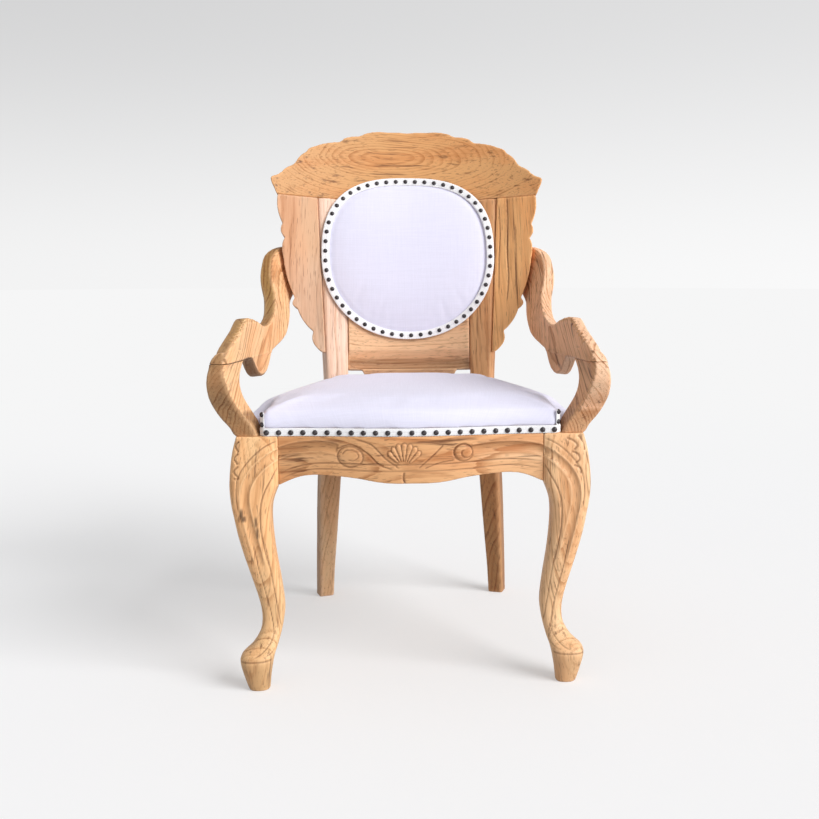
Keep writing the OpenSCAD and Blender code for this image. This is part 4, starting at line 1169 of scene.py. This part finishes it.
class ARMCHAIR_OT_tapes(bpy.types.Operator):
    """Woven tape round the oval, front and back, and along the seat"""
    bl_idname = "armchair.tapes"
    bl_label = "Woven tape"

    def execute(self, context):
        width = context.scene.armchair_sizes.tape_width
        for node, depth, way in (("back_trim", -0.0068, -1), ("rear_trim", BACK_THICK + 0.0062, 1)):
            path = [on_back(depth, *oval_point(width / 2, k / 240)) for k in range(240)]
            run = even_run(path, TAPE_STEP)
            spine = []
            for i, (mid, length) in enumerate(run):
                ahead = (run[(i + 1) % (len(run) - 1)][0] - run[i - 1 if i else -2][0]).normalized()
                out = (on_back(depth + way * 0.001, mid.x, 0) - on_back(depth, mid.x, 0)).normalized()
                spine.append((mid, out.cross(ahead).normalized(), out, length, 1.0))
            obj = tape(node + "_woven", spine, width, 0.0024)
            hand_in(obj, "white_tape", "woven_trim", node)
        up = Vector((0, 0, 1))
        thick = 0.0020
        rows = [even_run([Vector((x, y, 0)) for x, y in seat_edge(out)], TAPE_STEP)
                for out in (0.0005, 0.0005 + thick)]
        n = min(len(row) for row in rows)
        inner, outer = ([row[round(k * (len(row) - 1) / (n - 1))] for k in range(n)] for row in rows)
        wide = BOARD_THICK + 0.0014
        z = SEAT_RAIL_TOP + 0.0002 + wide / 2
        spine = []
        for (a, length), (b, _) in zip(inner, outer):
            mid = (a + b) / 2
            spine.append((Vector((mid.x, mid.y, z)), up, (b - a).normalized(), length, 1.0))
        pieces = [tape("seat_trim_woven", spine, wide, thick)]
        for s in (-1, 1):
            foot, out = climb_foot(s, 0.0015)
            start, end = SEAT_RAIL_TOP + BOARD_THICK * 0.6, SEAT_RAIL_TOP + BOARD_THICK + PAD_SIDE
            spine = []
            for k in range(34):
                t = k / 33
                size = 0.0 if k in (0, 33) else 1.0
                run = (end - start) * t
                spine.append((foot + up * (start + run), up.cross(out), out, run, size))
            pieces.append(tape("climb", spine, 0.0098, thick))
        choose(*pieces)
        bpy.ops.object.join()
        hand_in(pieces[0], "white_tape", "woven_trim", "seat_trim")
        return {"FINISHED"}


class ARMCHAIR_OT_nails(bpy.types.Operator):
    """Domed nails round the oval and along the seat"""
    bl_idname = "armchair.nails"
    bl_label = "Nails"

    def execute(self, context):
        sizes = context.scene.armchair_sizes
        depth = -0.0080
        path = [on_back(depth, *oval_point(sizes.tape_width / 2, k / 360)) for k in range(360)]
        places = []
        for mid in even_steps(path, sizes.oval_nails):
            out = (on_back(depth - 0.001, mid.x, 0) - on_back(depth, mid.x, 0)).normalized()
            places.append((mid, out))
        obj = nail_row("back_nails_domed", places)
        hand_in(obj, "antique_nail", "dark_nail", "back_nails")
        z = SEAT_RAIL_TOP + BOARD_THICK / 2
        half = SEAT_HALF - SEAT_CORNER - 0.002
        places = []
        for k in range(sizes.seat_nails):
            x = -half + 2 * half * k / (sizes.seat_nails - 1)
            slope = (front_face(x + 0.001) - front_face(x - 0.001)) / 0.002
            out = Vector((slope, -1, 0)).normalized()
            places.append((Vector((x, front_face(x) + PAD_SETBACK - NAIL_PROUD, z)), out))
        for s in (-1, 1):
            foot, out = climb_foot(s, NAIL_PROUD)
            for share in (0.25, 0.85):
                spot = foot + Vector((0, 0, SEAT_RAIL_TOP + BOARD_THICK + PAD_SIDE * share))
                places.append((spot, out))
        obj = nail_row("seat_nails_domed", places)
        hand_in(obj, "antique_nail", "dark_nail", "seat_nails")
        return {"FINISHED"}


class ARMCHAIR_OT_stage(bpy.types.Operator):
    """Pale floor that fades into the backdrop, soft studio light and the camera"""
    bl_idname = "armchair.stage"
    bl_label = "Stage"

    def execute(self, context):
        stage = context.scene.armchair_stage
        bpy.ops.object.select_all(action="DESELECT")
        bpy.ops.mesh.primitive_circle_add(vertices=96, radius=30, fill_type="NGON", location=(0, 0, 0))
        floor = context.object
        floor.name = "studio_floor"
        open_mesh(floor)
        bpy.ops.mesh.inset(thickness=24)
        bpy.ops.object.mode_set(mode="OBJECT")
        g, skin = blank_finish("studio_paper")
        place = g.object_place()
        away = g.length(g.stretch(place, (1, 1, 0)))
        grey = tuple(stage.floor)
        seen = g.direct_look()
        white = g.blend(g.cloud(place, 2.5, 4), grey, tuple(c * 0.985 for c in grey))
        g.fill(skin, {"Base Color": g.blend(seen, tuple(c * 0.6 for c in grey), white), "Roughness": 0.9,
                      "Specular IOR Level": 0.1})
        glow = g.put("Emission", {"Color": (*stage.backdrop, 1)}).outputs[0]
        far = g.times(g.ease(away, 0.9, 4.2, 0.35, 1.0), seen)
        g.show(g.put("MixShader", {0: far, 1: skin.outputs[0], 2: glow}))
        floor.data.materials.append(bpy.data.materials["studio_paper"])
        lamp = bpy.data.lights.new("key", "SUN")
        lamp.energy = stage.key
        lamp.angle = stage.key_spread
        obj = bpy.data.objects.new("key", lamp)
        obj.rotation_euler = Vector(KEY_FROM).to_track_quat("Z", "Y").to_euler()
        context.scene.collection.objects.link(obj)
        world = bpy.data.worlds.new("studio")
        world.use_nodes = True
        g = Graph(world.node_tree)
        back = g.first("BACKGROUND")
        g.fill(back, {"Color": (1, 1, 1, 1), "Strength": stage.sky})
        x, _, z = g.axes(g.put("TexCoord").outputs["Generated"])
        colour = g.blend(g.ease(z, -0.02, 0.24), tuple(stage.backdrop), tuple(stage.backdrop_top))
        # Painted light: the backdrop brighter towards the right, where the key light stands, and darker
        # towards the left, the more so higher up
        shade = g.times(g.ease(x, -0.5, 0.5, -1.0, 1.0), g.ease(z, 0.0, 0.2, 0.03, 0.075))
        wall = g.put("Background", {"Color": colour, "Strength": g.plus(1.0, shade)}).outputs[0]
        g.show(g.put("MixShader", {0: g.direct_look(), 1: back.outputs[0], 2: wall}))
        context.scene.world = world
        cam = bpy.data.cameras.new("camera")
        cam.sensor_width = 36
        cam.lens = 36 * FOCAL_PIXELS / PICTURE_PIXELS
        cam.shift_x, cam.shift_y = CAMERA_SHIFT
        cam.clip_end = 60
        obj = bpy.data.objects.new("camera", cam)
        obj.location = CAMERA_PLACE
        yaw, pitch = CAMERA_YAW, CAMERA_PITCH
        ahead = Vector((math.sin(yaw) * math.cos(pitch), math.cos(yaw) * math.cos(pitch), -math.sin(pitch)))
        obj.rotation_euler = ahead.to_track_quat("-Z", "Y").to_euler()
        context.scene.collection.objects.link(obj)
        context.scene.camera = obj
        context.scene.view_settings.view_transform = "Standard"
        return {"FINISHED"}


STEPS = (
    ARMCHAIR_OT_stage, ARMCHAIR_OT_finishes, ARMCHAIR_OT_back_frame, ARMCHAIR_OT_front_rail,
    ARMCHAIR_OT_front_legs, ARMCHAIR_OT_arms, ARMCHAIR_OT_seat_cushion, ARMCHAIR_OT_back_cushion,
    ARMCHAIR_OT_tapes, ARMCHAIR_OT_nails,
)


class ARMCHAIR_PT_panel(bpy.types.Panel):
    """Sizes, colours and steps of the armchair"""
    bl_idname = "ARMCHAIR_PT_panel"
    bl_label = "Armchair"
    bl_space_type = "VIEW_3D"
    bl_region_type = "UI"
    bl_category = "Armchair"

    def draw(self, context):
        scene = context.scene
        for group in (scene.armchair_sizes, scene.armchair_finish, scene.armchair_stage):
            for name in group.bl_rna.properties.keys():
                if name not in ("rna_type", "name"):
                    self.layout.prop(group, name)
        for step in STEPS:
            self.layout.operator(step.bl_idname)


CLASSES = (ArmchairSizes, ArmchairFinish, ArmchairStage, *STEPS, ARMCHAIR_PT_panel)


def register():
    for c in CLASSES:
        bpy.utils.register_class(c)
    bpy.types.Scene.armchair_sizes = PointerProperty(type=ArmchairSizes)
    bpy.types.Scene.armchair_finish = PointerProperty(type=ArmchairFinish)
    bpy.types.Scene.armchair_stage = PointerProperty(type=ArmchairStage)


def unregister():
    del bpy.types.Scene.armchair_sizes, bpy.types.Scene.armchair_finish, bpy.types.Scene.armchair_stage
    for c in reversed(CLASSES):
        bpy.utils.unregister_class(c)


def main():
    register()
    bpy.ops.armchair.stage()
    bpy.ops.armchair.finishes()
    bpy.ops.armchair.back_frame()
    bpy.ops.armchair.front_rail()
    bpy.ops.armchair.front_legs()
    bpy.ops.armchair.arms()
    bpy.ops.armchair.seat_cushion()
    bpy.ops.armchair.back_cushion()
    bpy.ops.armchair.tapes()
    bpy.ops.armchair.nails()


if __name__ == "__main__":
    main()
